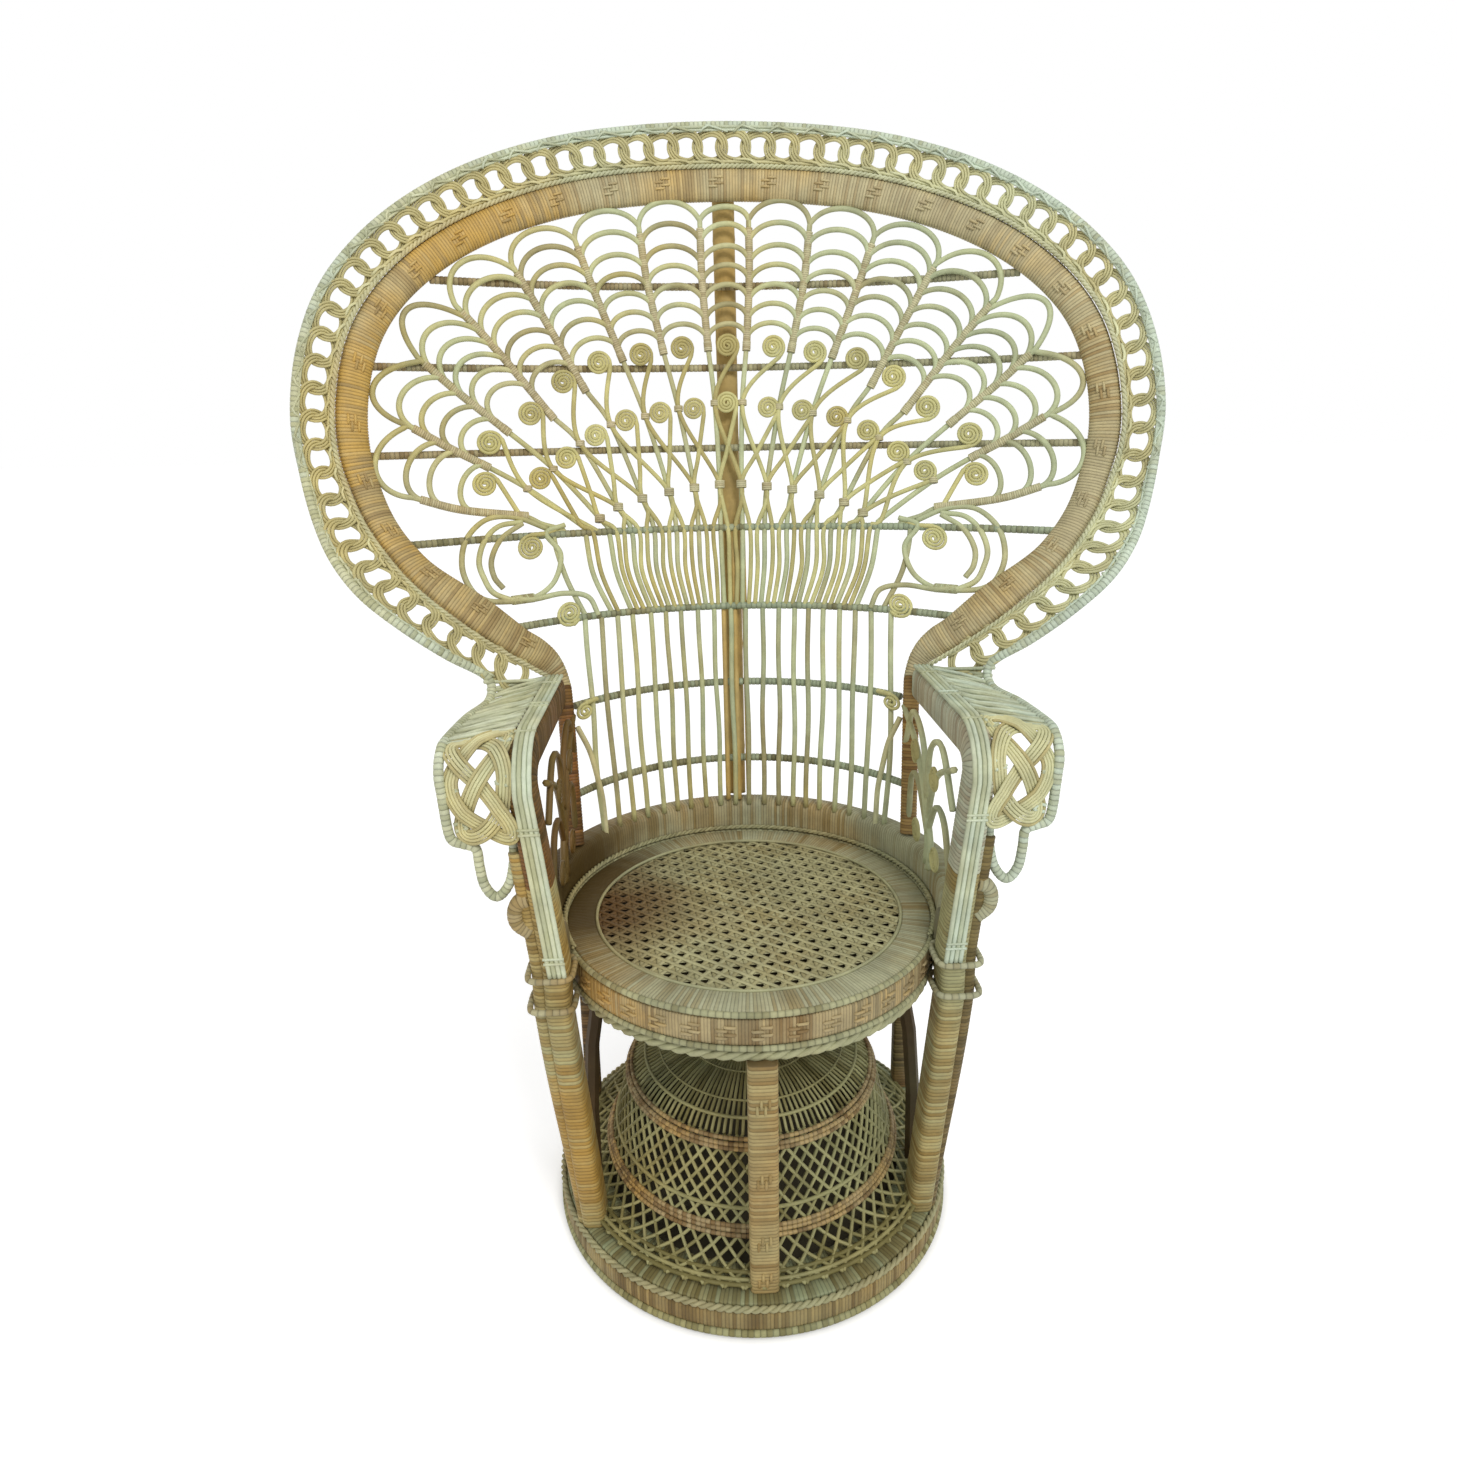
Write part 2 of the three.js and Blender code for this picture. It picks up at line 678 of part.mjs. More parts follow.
function armStations() {
  const footRadius = domeFootRadius + armFootClearance;
  const footX = footRadius * Math.sin(armAzimuth);
  const footY = -footRadius * Math.cos(armAzimuth) - armWidth;
  const seatX = (seatRadius + 2 * gap) * Math.sin(armAzimuth);
  const seatY = -(seatRadius + 2 * gap) * Math.cos(armAzimuth) - armWidth;
  const shoulder = armHeight - armBendRadius;
  const upX = (z) => lerp(seatX, armReach, (z - seatHeight) / (shoulder - seatHeight));
  const upY = (z) => lerp(seatY, -armFrontSetback, (z - seatHeight) / (shoulder - seatHeight));
  const stations = [
    { x: footX, y: footY, z: baseDeckTop + gap, turn: 0 },
    { x: seatX, y: seatY, z: ropeBottom, turn: 0 },
    { x: seatX, y: seatY, z: seatHeight, turn: 0, name: 'seat' },
    { x: upX(armWebBottom), y: upY(armWebBottom), z: armWebBottom, turn: 0, name: 'web' },
  ];
  const bendSteps = 4;
  for (let i = 0; i <= bendSteps; i++) {
    const turn = (Math.PI / 2) * (i / bendSteps);
    stations.push({
      x: armReach,
      y: -armFrontSetback + armBendRadius * (1 - Math.cos(turn)),
      z: shoulder + armBendRadius * Math.sin(turn),
      turn,
      name: i === 0 ? 'shoulder' : '',
    });
  }
  const neckFront = backDepth(armReach + armThickness, armHeight) - bandThickness / 2;
  const legFront = legAt(armHeight - armWidth).y - legWidth / 2;
  const rear = Math.min(neckFront, legFront) - neckClearance;
  const bendEnd = stations.at(-1).y;
  for (const share of [0.33, 0.66, 1]) {
    stations.push({ x: armReach, y: lerp(bendEnd, rear, share), z: armHeight, turn: Math.PI / 2 });
  }
  return stations;
}

function stationsFrom(name) {
  const stations = armStations();
  return stations.slice(stations.findIndex((station) => station.name === name));
}

// The back of the arm post at a height between the seat and the shoulder
function postRear(z) {
  const [seat, shoulder] = [stationsFrom('seat')[0], stationsFrom('shoulder')[0]];
  return lerp(seat.y, shoulder.y, (z - seat.z) / (shoulder.z - seat.z)) + armWidth;
}

function stationPoint(station, side, across, inward) {
  return new THREE.Vector3(
    side * (station.x + across),
    station.y + inward * Math.cos(station.turn),
    station.z - inward * Math.sin(station.turn));
}

function buildArm(name, side) {
  const stations = armStations();
  const frame = stations.map((station) => [
    stationPoint(station, side, 0, 0), stationPoint(station, side, armThickness, 0),
    stationPoint(station, side, armThickness, armWidth), stationPoint(station, side, 0, armWidth),
  ]);
  addPart(`arm_frame_${name}`, loft(frame), 'wrapped');
  addPart(`arm_edging_${name}`, edging(stationsFrom('seat'), side), 'pale');
  addPart(`arm_web_${name}`, armWeb(side), 'straw');
  addPart(`side_scrolls_${name}`, sideScrolls(side), 'straw');
}

// Four reeds side by side, laid on the outside of the bend
function edging(stations, side) {
  const reeds = 4;
  const start = (armThickness - reeds * edgingReed) / 2;
  const sections = stations.map((station) => {
    const points = [];
    for (let i = 0; i <= 2 * reeds; i++) {
      const height = i % 2 === 1 ? edgingHeight : edgingHeight / 2;
      points.push(stationPoint(station, side, start + (i * edgingReed) / 2, -gap - height));
    }
    points.push(stationPoint(station, side, start + reeds * edgingReed, -gap));
    points.push(stationPoint(station, side, start, -gap));
    return points;
  });
  return loftRidged(sections);
}

// Like loft, for a section of ridges over a flat foot, whose ends are closed ridge by ridge
function loftRidged(sections) {
  const geometry = loft(sections);
  const sides = sections[0].length;
  const last = (sections.length - 1) * sides;
  const body = [...geometry.getIndex().array].slice(0, (sections.length - 1) * sides * 6);
  const [footRight, footLeft] = [sides - 2, sides - 1];
  const ridgePoints = sides - 2;
  const middle = (ridgePoints - 1) / 2;
  const caps = [];
  const cap = (a, b, c) => caps.push(a, b, c, last + a, last + c, last + b);
  for (let i = 0; i < ridgePoints - 1; i++) cap(i < middle ? footLeft : footRight, i, i + 1);
  cap(footLeft, middle, footRight);
  return indexed(sections.flat(), [...body, ...caps]);
}

// Outer edge of the arm's woven panel: share of the panel width outwards, and how far the rim's
// centre lies inside the bend there, as a share of the panel width
const armRimShares = [
  [0.9, 0.26], [0.97, 0.22], [0.99, 0.2], [1, 0.18], [1, 0.16], [0.99, 0.14], [0.9, 0.1], [0.76, 0.09],
];

function armRimPoints(side) {
  return stationsFrom('web').slice(0, armRimShares.length).map((station, i) => {
    const [out, inward] = armRimShares[i];
    const across = armThickness + out * armWebWidth - rimDiameter / 2;
    return stationPoint(station, side, across, inward * armWebWidth);
  });
}

// Draws the outer edges of two rows in where the strip between them twists, because its edge is
// a straight line that would cut the corner
function widenForTwist(row, next) {
  const [here, there] = [row, next].map(({ inner, outer }) => outer.clone().sub(inner).normalize());
  const extra = rimDiameter * (1 / Math.cos(here.angleTo(there) / 2) - 1);
  row.outer.addScaledVector(here, -extra);
  next.outer.addScaledVector(there, -extra);
}

function armWeb(side) {
  const rims = armRimPoints(side);
  const rows = stationsFrom('web').slice(0, rims.length).map((station, i) => {
    const inner = stationPoint(station, side, armThickness + armWebClearance, armWebThickness / 2 + gap);
    const outward = rims[i].clone().sub(inner).normalize();
    const along = rims[Math.min(i + 1, rims.length - 1)].clone().sub(rims[Math.max(i - 1, 0)]);
    const clear = clearOf(along, outward, rimDiameter + 2 * armWebClearance);
    return { inner, outer: rims[i].clone().addScaledVector(outward, -clear) };
  });
  const neck = webStation(side > 0 ? lastStep : firstStep);
  const shortOf = (point, before) => point.add(before.clone().sub(point).setLength(armWebJoint));
  const last = rows.at(-1);
  widenForTwist(last, neck);
  rows.push({ inner: shortOf(neck.inner, last.inner), outer: shortOf(neck.outer, last.outer) });
  rows.forEach((row, i) => {
    const before = rows[Math.max(i - 1, 0)];
    const after = rows[Math.min(i + 1, rows.length - 1)];
    const along = after.inner.clone().add(after.outer).sub(before.inner).sub(before.outer);
    row.facing = along.cross(row.outer.clone().sub(row.inner)).normalize();
  });
  const crossShares = [0, 0.5, 1];
  const top = rows.map((row) => stripRow(row, crossShares, armWebThickness));
  const under = rows.map((row) => stripRow(row, crossShares, -armWebThickness));
  return plate(top, under, () => false, false);
}

// The rim goes up one arm, round the hoop and down the other arm, with a curl at each end. Each
// pair is a share of the panel width outwards and a share of it below the panel's lower edge
const curlShares = [[0.35, 0.86], [0.62, 0.98], [0.84, 0.62]];

function rimPath() {
  const arm = (side) => {
    const bottom = stationsFrom('web')[0];
    const curl = curlShares.map(([out, down]) => {
      const at = { ...bottom, z: armWebBottom - down * armWebWidth };
      return stationPoint(at, side, armThickness + out * armWebWidth, armRimShares[0][1] * armWebWidth);
    });
    return [...curl, ...armRimPoints(side)];
  };
  const hoop = [];
  for (let step = firstStep; step <= lastStep; step++) hoop.push(rimCentre(step));
  return [...arm(-1), ...hoop, ...arm(1).reverse()];
}

// Scrolls that fill the side between the arm post, the leg, the curb and the arm rail. Places are
// shares of the way from post to leg, and from curb to rail
const sideStemShares = [[0.5, 0], [0.44, 0.15], [0.44, 0.3], [0.5, 0.42], [0.5, 0.6]];
const sideArcShares = [
  [[0.5, 0.6], [0.4, 0.86], [0.2, 1], [0.04, 0.8]],
  [[0.5, 0.6], [0.62, 0.86], [0.8, 1], [0.96, 0.8]],
  [[0.44, 0.3], [0.3, 0.52], [0.14, 0.48], [0, 0.22]],
  [[0.44, 0.3], [0.66, 0.5], [0.86, 0.46], [1, 0.2]],
];
const sideDiscShares = [[0.3, 0.72], [0.72, 0.72], [0.3, 0.16], [0.7, 0.14]];
const sideTailShares = [[0.5, 0.6], [0.5, 0.6], [0.44, 0.16], [0.44, 0.16]];

function sideScrolls(side) {
  const inset = reed / 2 + gap;
  const [bottom, top] = [curbTop + inset, armHeight - armWidth - inset];
  const legFront = (z) => legAt(z).y - legWidth / 2 - inset;
  const place = ([across, up]) => {
    const z = lerp(bottom, top, up);
    const y = lerp(Math.max(postRear(z), postRear(bottom)) + inset, legFront(z), across);
    return new THREE.Vector2(y, z);
  };
  const reedAlong = (shares) => strip(shares.map(place), reed, sheetThickness);
  const pieces = [reedAlong(sideStemShares), ...sideArcShares.map(reedAlong)];
  sideDiscShares.forEach((share, i) => {
    pieces.push(disc(place(share), smallScrollRadius, sheetThickness));
    pieces.push(reedAlong([share, sideTailShares[i]]));
  });
  const pattern = fuse(pieces);
  const position = pattern.getAttribute('position');
  const plane = legFoot.x;
  for (let i = 0; i < position.count; i++) {
    const [y, z, depth] = [position.getX(i), position.getY(i), position.getZ(i)];
    position.setXYZ(i, side * (plane + depth), y, z);
  }
  return pattern;
}

// Back: rails, pole, spindles and the fan

// The third rail lies a share of the way from the arms to the band. The rails below it and above
// it are evenly spaced, and the first and the last have a share of a space beyond them
const combRail = 3;
const combShare = 0.1012;
const firstRailShare = 0.56;
const lastRailShare = 1.02;
const combHeight = lerp(armHeight, bandTop, combShare);
const lowerPitch = (combHeight - curbTop) / (combRail - 1 + firstRailShare);
const upperPitch = (bandTop - combHeight) / (railCount - combRail + lastRailShare);

function railHeight(number) {
  return combHeight + (number - combRail) * (number < combRail ? lowerPitch : upperPitch);
}

// Steps along a rail are shorter where the back curves more
function railSpacing(share) {
  return (share + Math.sin((Math.PI / 2) * share)) / 2;
}

const railBehind = sheetThickness / 2 + railClearance + railDiameter / 2;

// Half the length of a rail at a height: between the legs, or above them inside the band
function railReach(z, half) {
  if (z - half < hoopPoint(bandOutline, 1).z) {
    const highest = Math.min(z + half, legTop.z);
    return Math.min(legFoot.x, legAt(highest).x) - legWidth / 2 - gap;
  }
  return Math.min(innerReach(z - half), innerReach(z + half)) - gap;
}

function buildRails() {
  for (let number = 1; number <= railCount; number++) {
    if (number === combRail) continue;
    const z = railHeight(number);
    const half = railDiameter / 2;
    const reach = railReach(z, half);
    const sections = [];
    for (let i = 0; i <= railSteps; i++) {
      const x = reach * railSpacing((2 * i) / railSteps - 1);
      const centre = onBack(x, z, railBehind);
      const corner = (depth, up) => centre.clone().add(new THREE.Vector3(0, depth * half, up * half));
      sections.push([corner(-1, 0), corner(0, -1), corner(1, 0), corner(0, 1)]);
    }
    addPart(`back_rail_${number}`, loft(sections), 'shaded');
  }
}

const poleTopShare = 0.4;

function buildPole() {
  const behind = railBehind + railDiameter / 2 + 2 * gap + poleDiameter / 2;
  const top = onBack(0, lerp(bandTop, hoopHeight, poleTopShare), behind);
  const bottom = onBack(0, curbTop + gap + Math.tan(backLean) * poleDiameter / 2, behind);
  const pole = new THREE.CylinderGeometry(poleDiameter / 2, poleDiameter / 2, top.distanceTo(bottom), 8);
  pole.rotateX(Math.PI / 2 - backLean);
  const middle = top.clone().add(bottom).multiplyScalar(0.5);
  addPart('centre_pole', pole.translate(middle.x, middle.y, middle.z), 'pole');
}

// Spindles hang from the third rail to the curb in one comb. The outermost starts beside the legs
// and comes down at a share of the curb's radius
const spindleFootShare = 0.823;

function buildSpindles() {
  const railAt = railHeight(combRail);
  const half = railDiameter / 2;
  const reach = railReach(railAt, half);
  const outermost = spindlesPerSide - 0.5;
  const topPitch = (legTop.x - legWidth / 2 - spindleMargin) / outermost;
  const footPitch = (spindleFootShare * curbInner) / outermost;
  const spindleEdges = [];
  for (let i = 0; i < 2 * spindlesPerSide; i++) {
    const place = i - spindlesPerSide + 0.5;
    spindleEdges.push([place, -reed / 2], [place, reed / 2]);
  }
  const heights = [railAt + half, railAt - half, railHeight(2), railHeight(1), curbTop + gap];
  const gridAt = (depth) => heights.map((z) => {
    const pitch = lerp(footPitch, topPitch, Math.min((z - curbTop) / (railAt - curbTop), 1));
    const across = spindleEdges.map(([place, edge]) => place * pitch + edge);
    const row = [-reach, ...across, reach];
    return row.map((x) => onBack(x, z, depth));
  });
  const isOpen = (i, j) => i > 0 && j % 2 === 0;
  const [front, rear] = [gridAt(-sheetThickness / 2), gridAt(sheetThickness / 2)];
  addPart('spindle_comb', plate(front, rear, isOpen, false), 'straw');
}

// The fan is a family of nested curves. Level 0 is where the feathers start and level 1 is their
// tips at the band; number counts feathers from the middle. Shares are of the band's inner reach
// and of the height from the arms to the band
const fanShares = {
  base: { reach: 0.622, centre: 0.3295, rise: 0.2307 },
  tips: { reach: 0.984, centre: 0.525, rise: 0.4642 },
};
const bandReach = hoopHalfWidth * bandCrownShares.at(-1)[0];
const fanTurn = { base: degToRad(10.6), tips: degToRad(11.4) };
const fanCrowding = { turn: degToRad(1.9), fromFeather: 4.5 };
const fanSquareness = 0.889;

function fanPoint(level, number) {
  const between = (key) => lerp(fanShares.base[key], fanShares.tips[key], level);
  const count = Math.abs(number);
  const crowd = fanCrowding.turn * Math.max(0, count - fanCrowding.fromFeather) ** 2;
  const turn = count * lerp(fanTurn.base, fanTurn.tips, level) + crowd;
  const rise = Math.sign(Math.cos(turn)) * Math.abs(Math.cos(turn)) ** fanSquareness;
  const height = between('centre') + between('rise') * rise;
  return new THREE.Vector2(
    Math.sign(number) * between('reach') * bandReach * Math.sin(turn), lerp(armHeight, bandTop, height));
}

// Levels below the feathers where strands of one feather meet, and where neighbours meet
const meetLevel = -0.24;
const tieLevel = -0.43;
const scrollLevel = 0.289;
const lowestArcLevel = 0.48;
const aheadLevel = 0.05;
const meetShare = 0.3;
const arcWidthShare = 0.9;
const arcTipShare = 0.5;

// Levels at which the reeds of the stems bend
const legLevels = [0, 0.33, 0.66, 1];

// Strands are counted in half feathers. The outermost lies at a share of the band's reach on the
// fourth rail, and at a share of the third rail's reach where it lands
const strandTopShare = 0.4954;
const strandFootShare = 0.684;
const outermostStrand = 2 * featherReach + 0.5;
const strandTopPitch = (strandTopShare * bandReach) / outermostStrand;
const strandFootPitch = (strandFootShare * railReach(combHeight, railDiameter / 2)) / outermostStrand;

function stemPoint(level, number, feather) {
  const stem = fanPoint(level, number);
  const ahead = fanPoint(level + aheadLevel, number).sub(stem).normalize();
  const across = new THREE.Vector2(-ahead.y, ahead.x).multiplyScalar(Math.sign(number - feather));
  return stem.addScaledVector(across, reed / 2 + 2 * gap);
}

function featherLeg(feather, side, topLevel) {
  const number = feather + side / 2;
  const strand = 2 * feather + side / 2;
  const landing = railHeight(combRail) + railDiameter / 2 + gap;
  const points = [
    new THREE.Vector2(strand * strandFootPitch, landing),
    new THREE.Vector2(strand * strandFootPitch, landing + reed),
    new THREE.Vector2(strand * strandTopPitch, railHeight(combRail + 1)),
  ];
  const tie = stemPoint(tieLevel, number, feather);
  if (Math.abs(number) < featherReach - 1) points.push(tie);
  const meet = fanPoint(meetLevel, feather);
  points.push(meet.setX(meet.x + side * reed * meetShare));
  for (let i = 0; i < legLevels.length; i++) {
    const [from, to] = [legLevels[i], legLevels[i + 1]];
    points.push(stemPoint(from, number, feather));
    if (topLevel > to) continue;
    const [start, end] = [stemPoint(from, number, feather), stemPoint(to, number, feather)];
    points.push(start.lerp(end, (topLevel - from) / (to - from)));
    break;
  }
  return points;
}

function featherGeometry(feather) {
  const axis = fanPoint(1, feather).distanceTo(fanPoint(0, feather));
  const widthAt = (level) => fanPoint(level, feather - 0.5).distanceTo(fanPoint(level, feather + 0.5)) / 2;
  const arcs = [];
  for (let tip = 1 - reed / axis; tip > lowestArcLevel; tip -= arcPitch / axis) {
    const height = Math.min(arcWidthShare * widthAt(tip) / axis, tip * arcTipShare);
    arcs.push({ spring: tip - height, height });
  }
  const legs = [-1, 1].map((side) => featherLeg(feather, side, arcs[0].spring));
  const pieces = legs.map((points) => strip(points, reed, sheetThickness));
  for (const { spring, height } of arcs) {
    const steps = 4;
    const points = [];
    for (let i = 0; i <= steps; i++) {
      const turn = (Math.PI * i) / steps;
      const level = spring + height * Math.sin(turn);
      const legSide = -Math.sign(Math.cos(turn));
      const edge = stemPoint(spring, feather + legSide / 2, feather);
      const stem = fanPoint(spring, feather + legSide / 2);
      const inset = 1 - edge.distanceTo(stem) / widthAt(spring);
      points.push(fanPoint(level, feather - Math.cos(turn) * inset / 2));
    }
    pieces.push(strip(points, reed, sheetThickness));
  }
  const scrolls = [[scrollLevel, scrollRadius]];
  if (Math.abs(feather) < featherReach) scrolls.push([0, smallScrollRadius]);
  for (const [level, radius] of scrolls) {
    const centre = fanPoint(level, feather);
    const stem = stemPoint(level, feather + 0.5, feather);
    pieces.push(disc(centre, radius, sheetThickness));
    if (centre.distanceTo(stem) > radius) pieces.push(strip([centre, stem], reed, sheetThickness));
  }
  return fuse(pieces);
}

function buildFan() {
  for (let feather = -featherReach; feather <= featherReach; feather++) {
    const number = String(feather + featherReach + 1).padStart(2, '0');
    addPart(`feather_${number}`, layOnBack(featherGeometry(feather)), 'straw');
  }
}

// Nested loops in the corner between the third and fourth rails and the band. Shares are of the
// reach at their foot, of the way between the rails, and of the largest loop's radius
const loopReachShare = 0.92;
const loopFootShare = 0.3;
const loopBendShare = 0.6;
const loopStemShare = 1.5;
const loopScrollShare = 0.45;
const loopReeds = 3;

// Radius of the largest loop that stands on a place and keeps clear of the band and the feathers
function loopRoom(middle, bottom) {
  const samples = 8;
  const neighbours = [];
  for (const feather of [featherReach - 1, featherReach]) {
    for (const side of [-1, 1]) {
      const leg = featherLeg(feather, side, 1);
      for (let i = 0; i < (leg.length - 1) * samples; i++) {
        const start = Math.floor(i / samples);
        neighbours.push(leg[start].clone().lerp(leg[start + 1], i / samples - start));
      }
    }
  }
  for (let i = 0; i <= samples; i++) {
    const z = lerp(bottom, railHeight(combRail + 1), i / samples);
    neighbours.push(new THREE.Vector2(innerReach(z), z));
  }
  const clear = reed + loopClearance;
  return Math.min(...neighbours.map((place) => {
    const [across, up] = [place.x - middle, place.y - bottom];
    return up + clear > 0 ? (across ** 2 + up ** 2 - clear ** 2) / (2 * (up + clear)) : Infinity;
  }));
}

function buildSideLoops() {
  const foot = railHeight(combRail) + railDiameter / 2 + gap;
  const bottom = lerp(foot, railHeight(combRail + 1), loopFootShare);
  const reach = loopReachShare * innerReach(bottom);
  const largest = loopRoom(reach, bottom);
  for (const [name, side] of [['left', -1], ['right', 1]]) {
    const middle = side * reach;
    const pieces = [];
    for (let i = 0; i < loopReeds; i++) {
      const radius = largest - i * loopStep;
      pieces.push(flatLoop(new THREE.Vector2(middle, bottom + radius), radius, reed, sheetThickness));
    }
    const inner = middle - side * largest * loopStemShare;
    const bend = lerp(foot, bottom, loopBendShare);
    const stem = [[inner, foot], [inner, bend], [inner + side * loopStep, bottom], [middle, bottom]];
    pieces.push(strip(stem.map(([x, z]) => new THREE.Vector2(x, z)), reed, sheetThickness));
    const scroll = new THREE.Vector2(middle - side * largest * loopScrollShare, bottom + largest);
    pieces.push(disc(scroll, smallScrollRadius, sheetThickness));
    addPart(`side_loops_${name}`, layOnBack(fuse(pieces)), 'straw');
  }
}

buildBase();
buildDome();
buildPosts();
buildSeat();
buildCurb();
buildHoop();
buildArm('left', -1);
buildArm('right', 1);
buildRails();
buildPole();
buildSpindles();
buildFan();
buildSideLoops();

// The origin goes to the floor under the middle of the whole chair
const bounds = new THREE.Box3().setFromObject(chair);
chair.position.y = -(bounds.min.y + bounds.max.y) / 2;

const part = new THREE.Group();
part.add(chair);

export default part;
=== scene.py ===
# %% [markdown]
# # A peacock chair in bent and woven rattan
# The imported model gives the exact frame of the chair: where each ring, rail, reed and arm lies.
# This file dresses it. Almost every piece is a reed that follows a path, so most cells work out
# paths on the model's curved surfaces, and a few helpers turn paths into reeds. What is random
# comes from one generator with a fixed seed, so every run makes the same chair.

# %% Load the frame
import math

import bpy
import numpy as np
from mathutils import Matrix, Vector


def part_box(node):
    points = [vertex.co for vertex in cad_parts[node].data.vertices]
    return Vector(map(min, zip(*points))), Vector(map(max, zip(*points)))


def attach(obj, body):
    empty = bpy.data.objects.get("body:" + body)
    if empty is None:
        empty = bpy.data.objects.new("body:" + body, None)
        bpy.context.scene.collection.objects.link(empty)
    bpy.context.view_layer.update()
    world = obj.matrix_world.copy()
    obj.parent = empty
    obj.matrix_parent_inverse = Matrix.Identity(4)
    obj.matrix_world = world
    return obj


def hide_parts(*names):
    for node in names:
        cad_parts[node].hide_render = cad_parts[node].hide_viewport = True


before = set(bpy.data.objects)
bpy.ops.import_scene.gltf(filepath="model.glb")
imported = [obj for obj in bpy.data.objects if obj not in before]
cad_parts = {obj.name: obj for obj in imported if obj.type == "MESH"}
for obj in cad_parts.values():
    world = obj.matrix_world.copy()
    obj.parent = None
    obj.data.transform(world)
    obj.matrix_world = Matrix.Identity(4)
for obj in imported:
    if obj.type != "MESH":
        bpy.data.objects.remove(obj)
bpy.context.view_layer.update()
random = np.random.default_rng(7)
UP = np.array([0, 0, 1])


def show(thing):
    bpy.context.scene.collection.objects.link(thing)


def node_box(name):
    low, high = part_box(name)
    return np.array(low), np.array(high)


ring_low, ring_high = node_box("base_floor_cane")
SEAT_AXIS_Y = (ring_low[1] + ring_high[1]) / 2
BASE_RADIUS = (ring_high[0] - ring_low[0]) / 2
print("the seat's middle lies", round(SEAT_AXIS_Y, 4), "m along Y")
print("the base radius is", round(BASE_RADIUS, 4), "m")

# %% [markdown]
# ## The camera
# The photograph was taken close to the chair, from well above the seat, with a wide lens. A camera
# can be placed by hand or fitted. This one was fitted to the round seat and base, because ellipses
# show small errors well. Its frame is square, and a small shift puts the lens axis where the
# photograph has it.

# %% Camera
PHOTO_SIDE = 1457
FOCAL_PIXELS = 933.74
CAMERA_DISTANCE = 1.0781
CAMERA_HEIGHT = 0.97885
CAMERA_ASIDE = -0.01972
CAMERA_PITCH = 0.25237
CAMERA_ROLL = 0.018788
CHAIR_TURN = 0.036422
AXIS_RISE_PIXELS = 55.504
SENSOR = 36

camera_data = bpy.data.cameras.new("photo_camera")
camera_data.sensor_width = SENSOR
camera_data.lens = SENSOR * FOCAL_PIXELS / PHOTO_SIDE
camera_data.shift_y = -AXIS_RISE_PIXELS / PHOTO_SIDE
camera = bpy.data.objects.new("photo_camera", camera_data)
show(camera)
turn_back = Matrix.Rotation(-CHAIR_TURN, 3, "Z")
ahead = turn_back @ Vector((0, math.cos(CAMERA_PITCH), -math.sin(CAMERA_PITCH)))
level_right = turn_back @ Vector((1, 0, 0))
level_up = level_right.cross(ahead)
right = level_right * math.cos(CAMERA_ROLL) - level_up * math.sin(CAMERA_ROLL)
up = right.cross(ahead)
place = turn_back @ Vector((CAMERA_ASIDE, -CAMERA_DISTANCE, CAMERA_HEIGHT))
place.y += SEAT_AXIS_Y
camera.matrix_world = Matrix.Translation(place) @ Matrix((right, up, -ahead)).transposed().to_4x4()
bpy.context.scene.camera = camera
print("camera stands at", [round(v, 3) for v in place])

# %% [markdown]
# ## Small helpers for node trees
# A finish is a tree of nodes. They can be placed by hand in the editor, or in a script, where a
# tree can be read and changed. `add_node` makes a node, fills its inputs and joins those that are
# sockets. The others are short names for sums, ranges, clouds of noise and mixes of colour.

# %% Helpers for node trees
def link(tree, source, target):
    tree.links.new(source, target)


def fill(tree, node, inputs):
    for key, value in inputs.items():
        if isinstance(value, bpy.types.NodeSocket):
            link(tree, value, node.inputs[key])
        else:
            node.inputs[key].default_value = value


def add_node(tree, kind, inputs=None, **settings):
    node = tree.nodes.new(kind)
    for key, value in settings.items():
        setattr(node, key, value)
    fill(tree, node, inputs or {})
    return node


def maths(tree, operation, first, second):
    return add_node(tree, "ShaderNodeMath", {0: first, 1: second}, operation=operation).outputs[0]


def mix_colour(tree, share, first, second, blend="MIX"):
    inputs = {0: share, 6: first, 7: second}
    return add_node(tree, "ShaderNodeMix", inputs, data_type="RGBA", blend_type=blend).outputs[2]


def ramp(tree, value, low, high):
    """0 below low, 1 above high, and a soft step between."""
    node = add_node(tree, "ShaderNodeMapRange", {"Value": value, "From Min": low, "From Max": high})
    node.interpolation_type = "SMOOTHSTEP"
    return node.outputs[0]


def spread(tree, value, low, high):
    """A value from 0 to 1, spread between low and high."""
    return add_node(tree, "ShaderNodeMapRange", {"Value": value, "To Min": low, "To Max": high}).outputs[0]


def cloud(tree, vector, scale, detail):
    inputs = {"Vector": vector, "Scale": scale, "Detail": detail}
    return add_node(tree, "ShaderNodeTexNoise", inputs).outputs["Fac"]


def object_place(tree):
    return add_node(tree, "ShaderNodeTexCoord").outputs["Object"]


def attribute(tree, name):
    return add_node(tree, "ShaderNodeAttribute", attribute_name=name).outputs["Fac"]
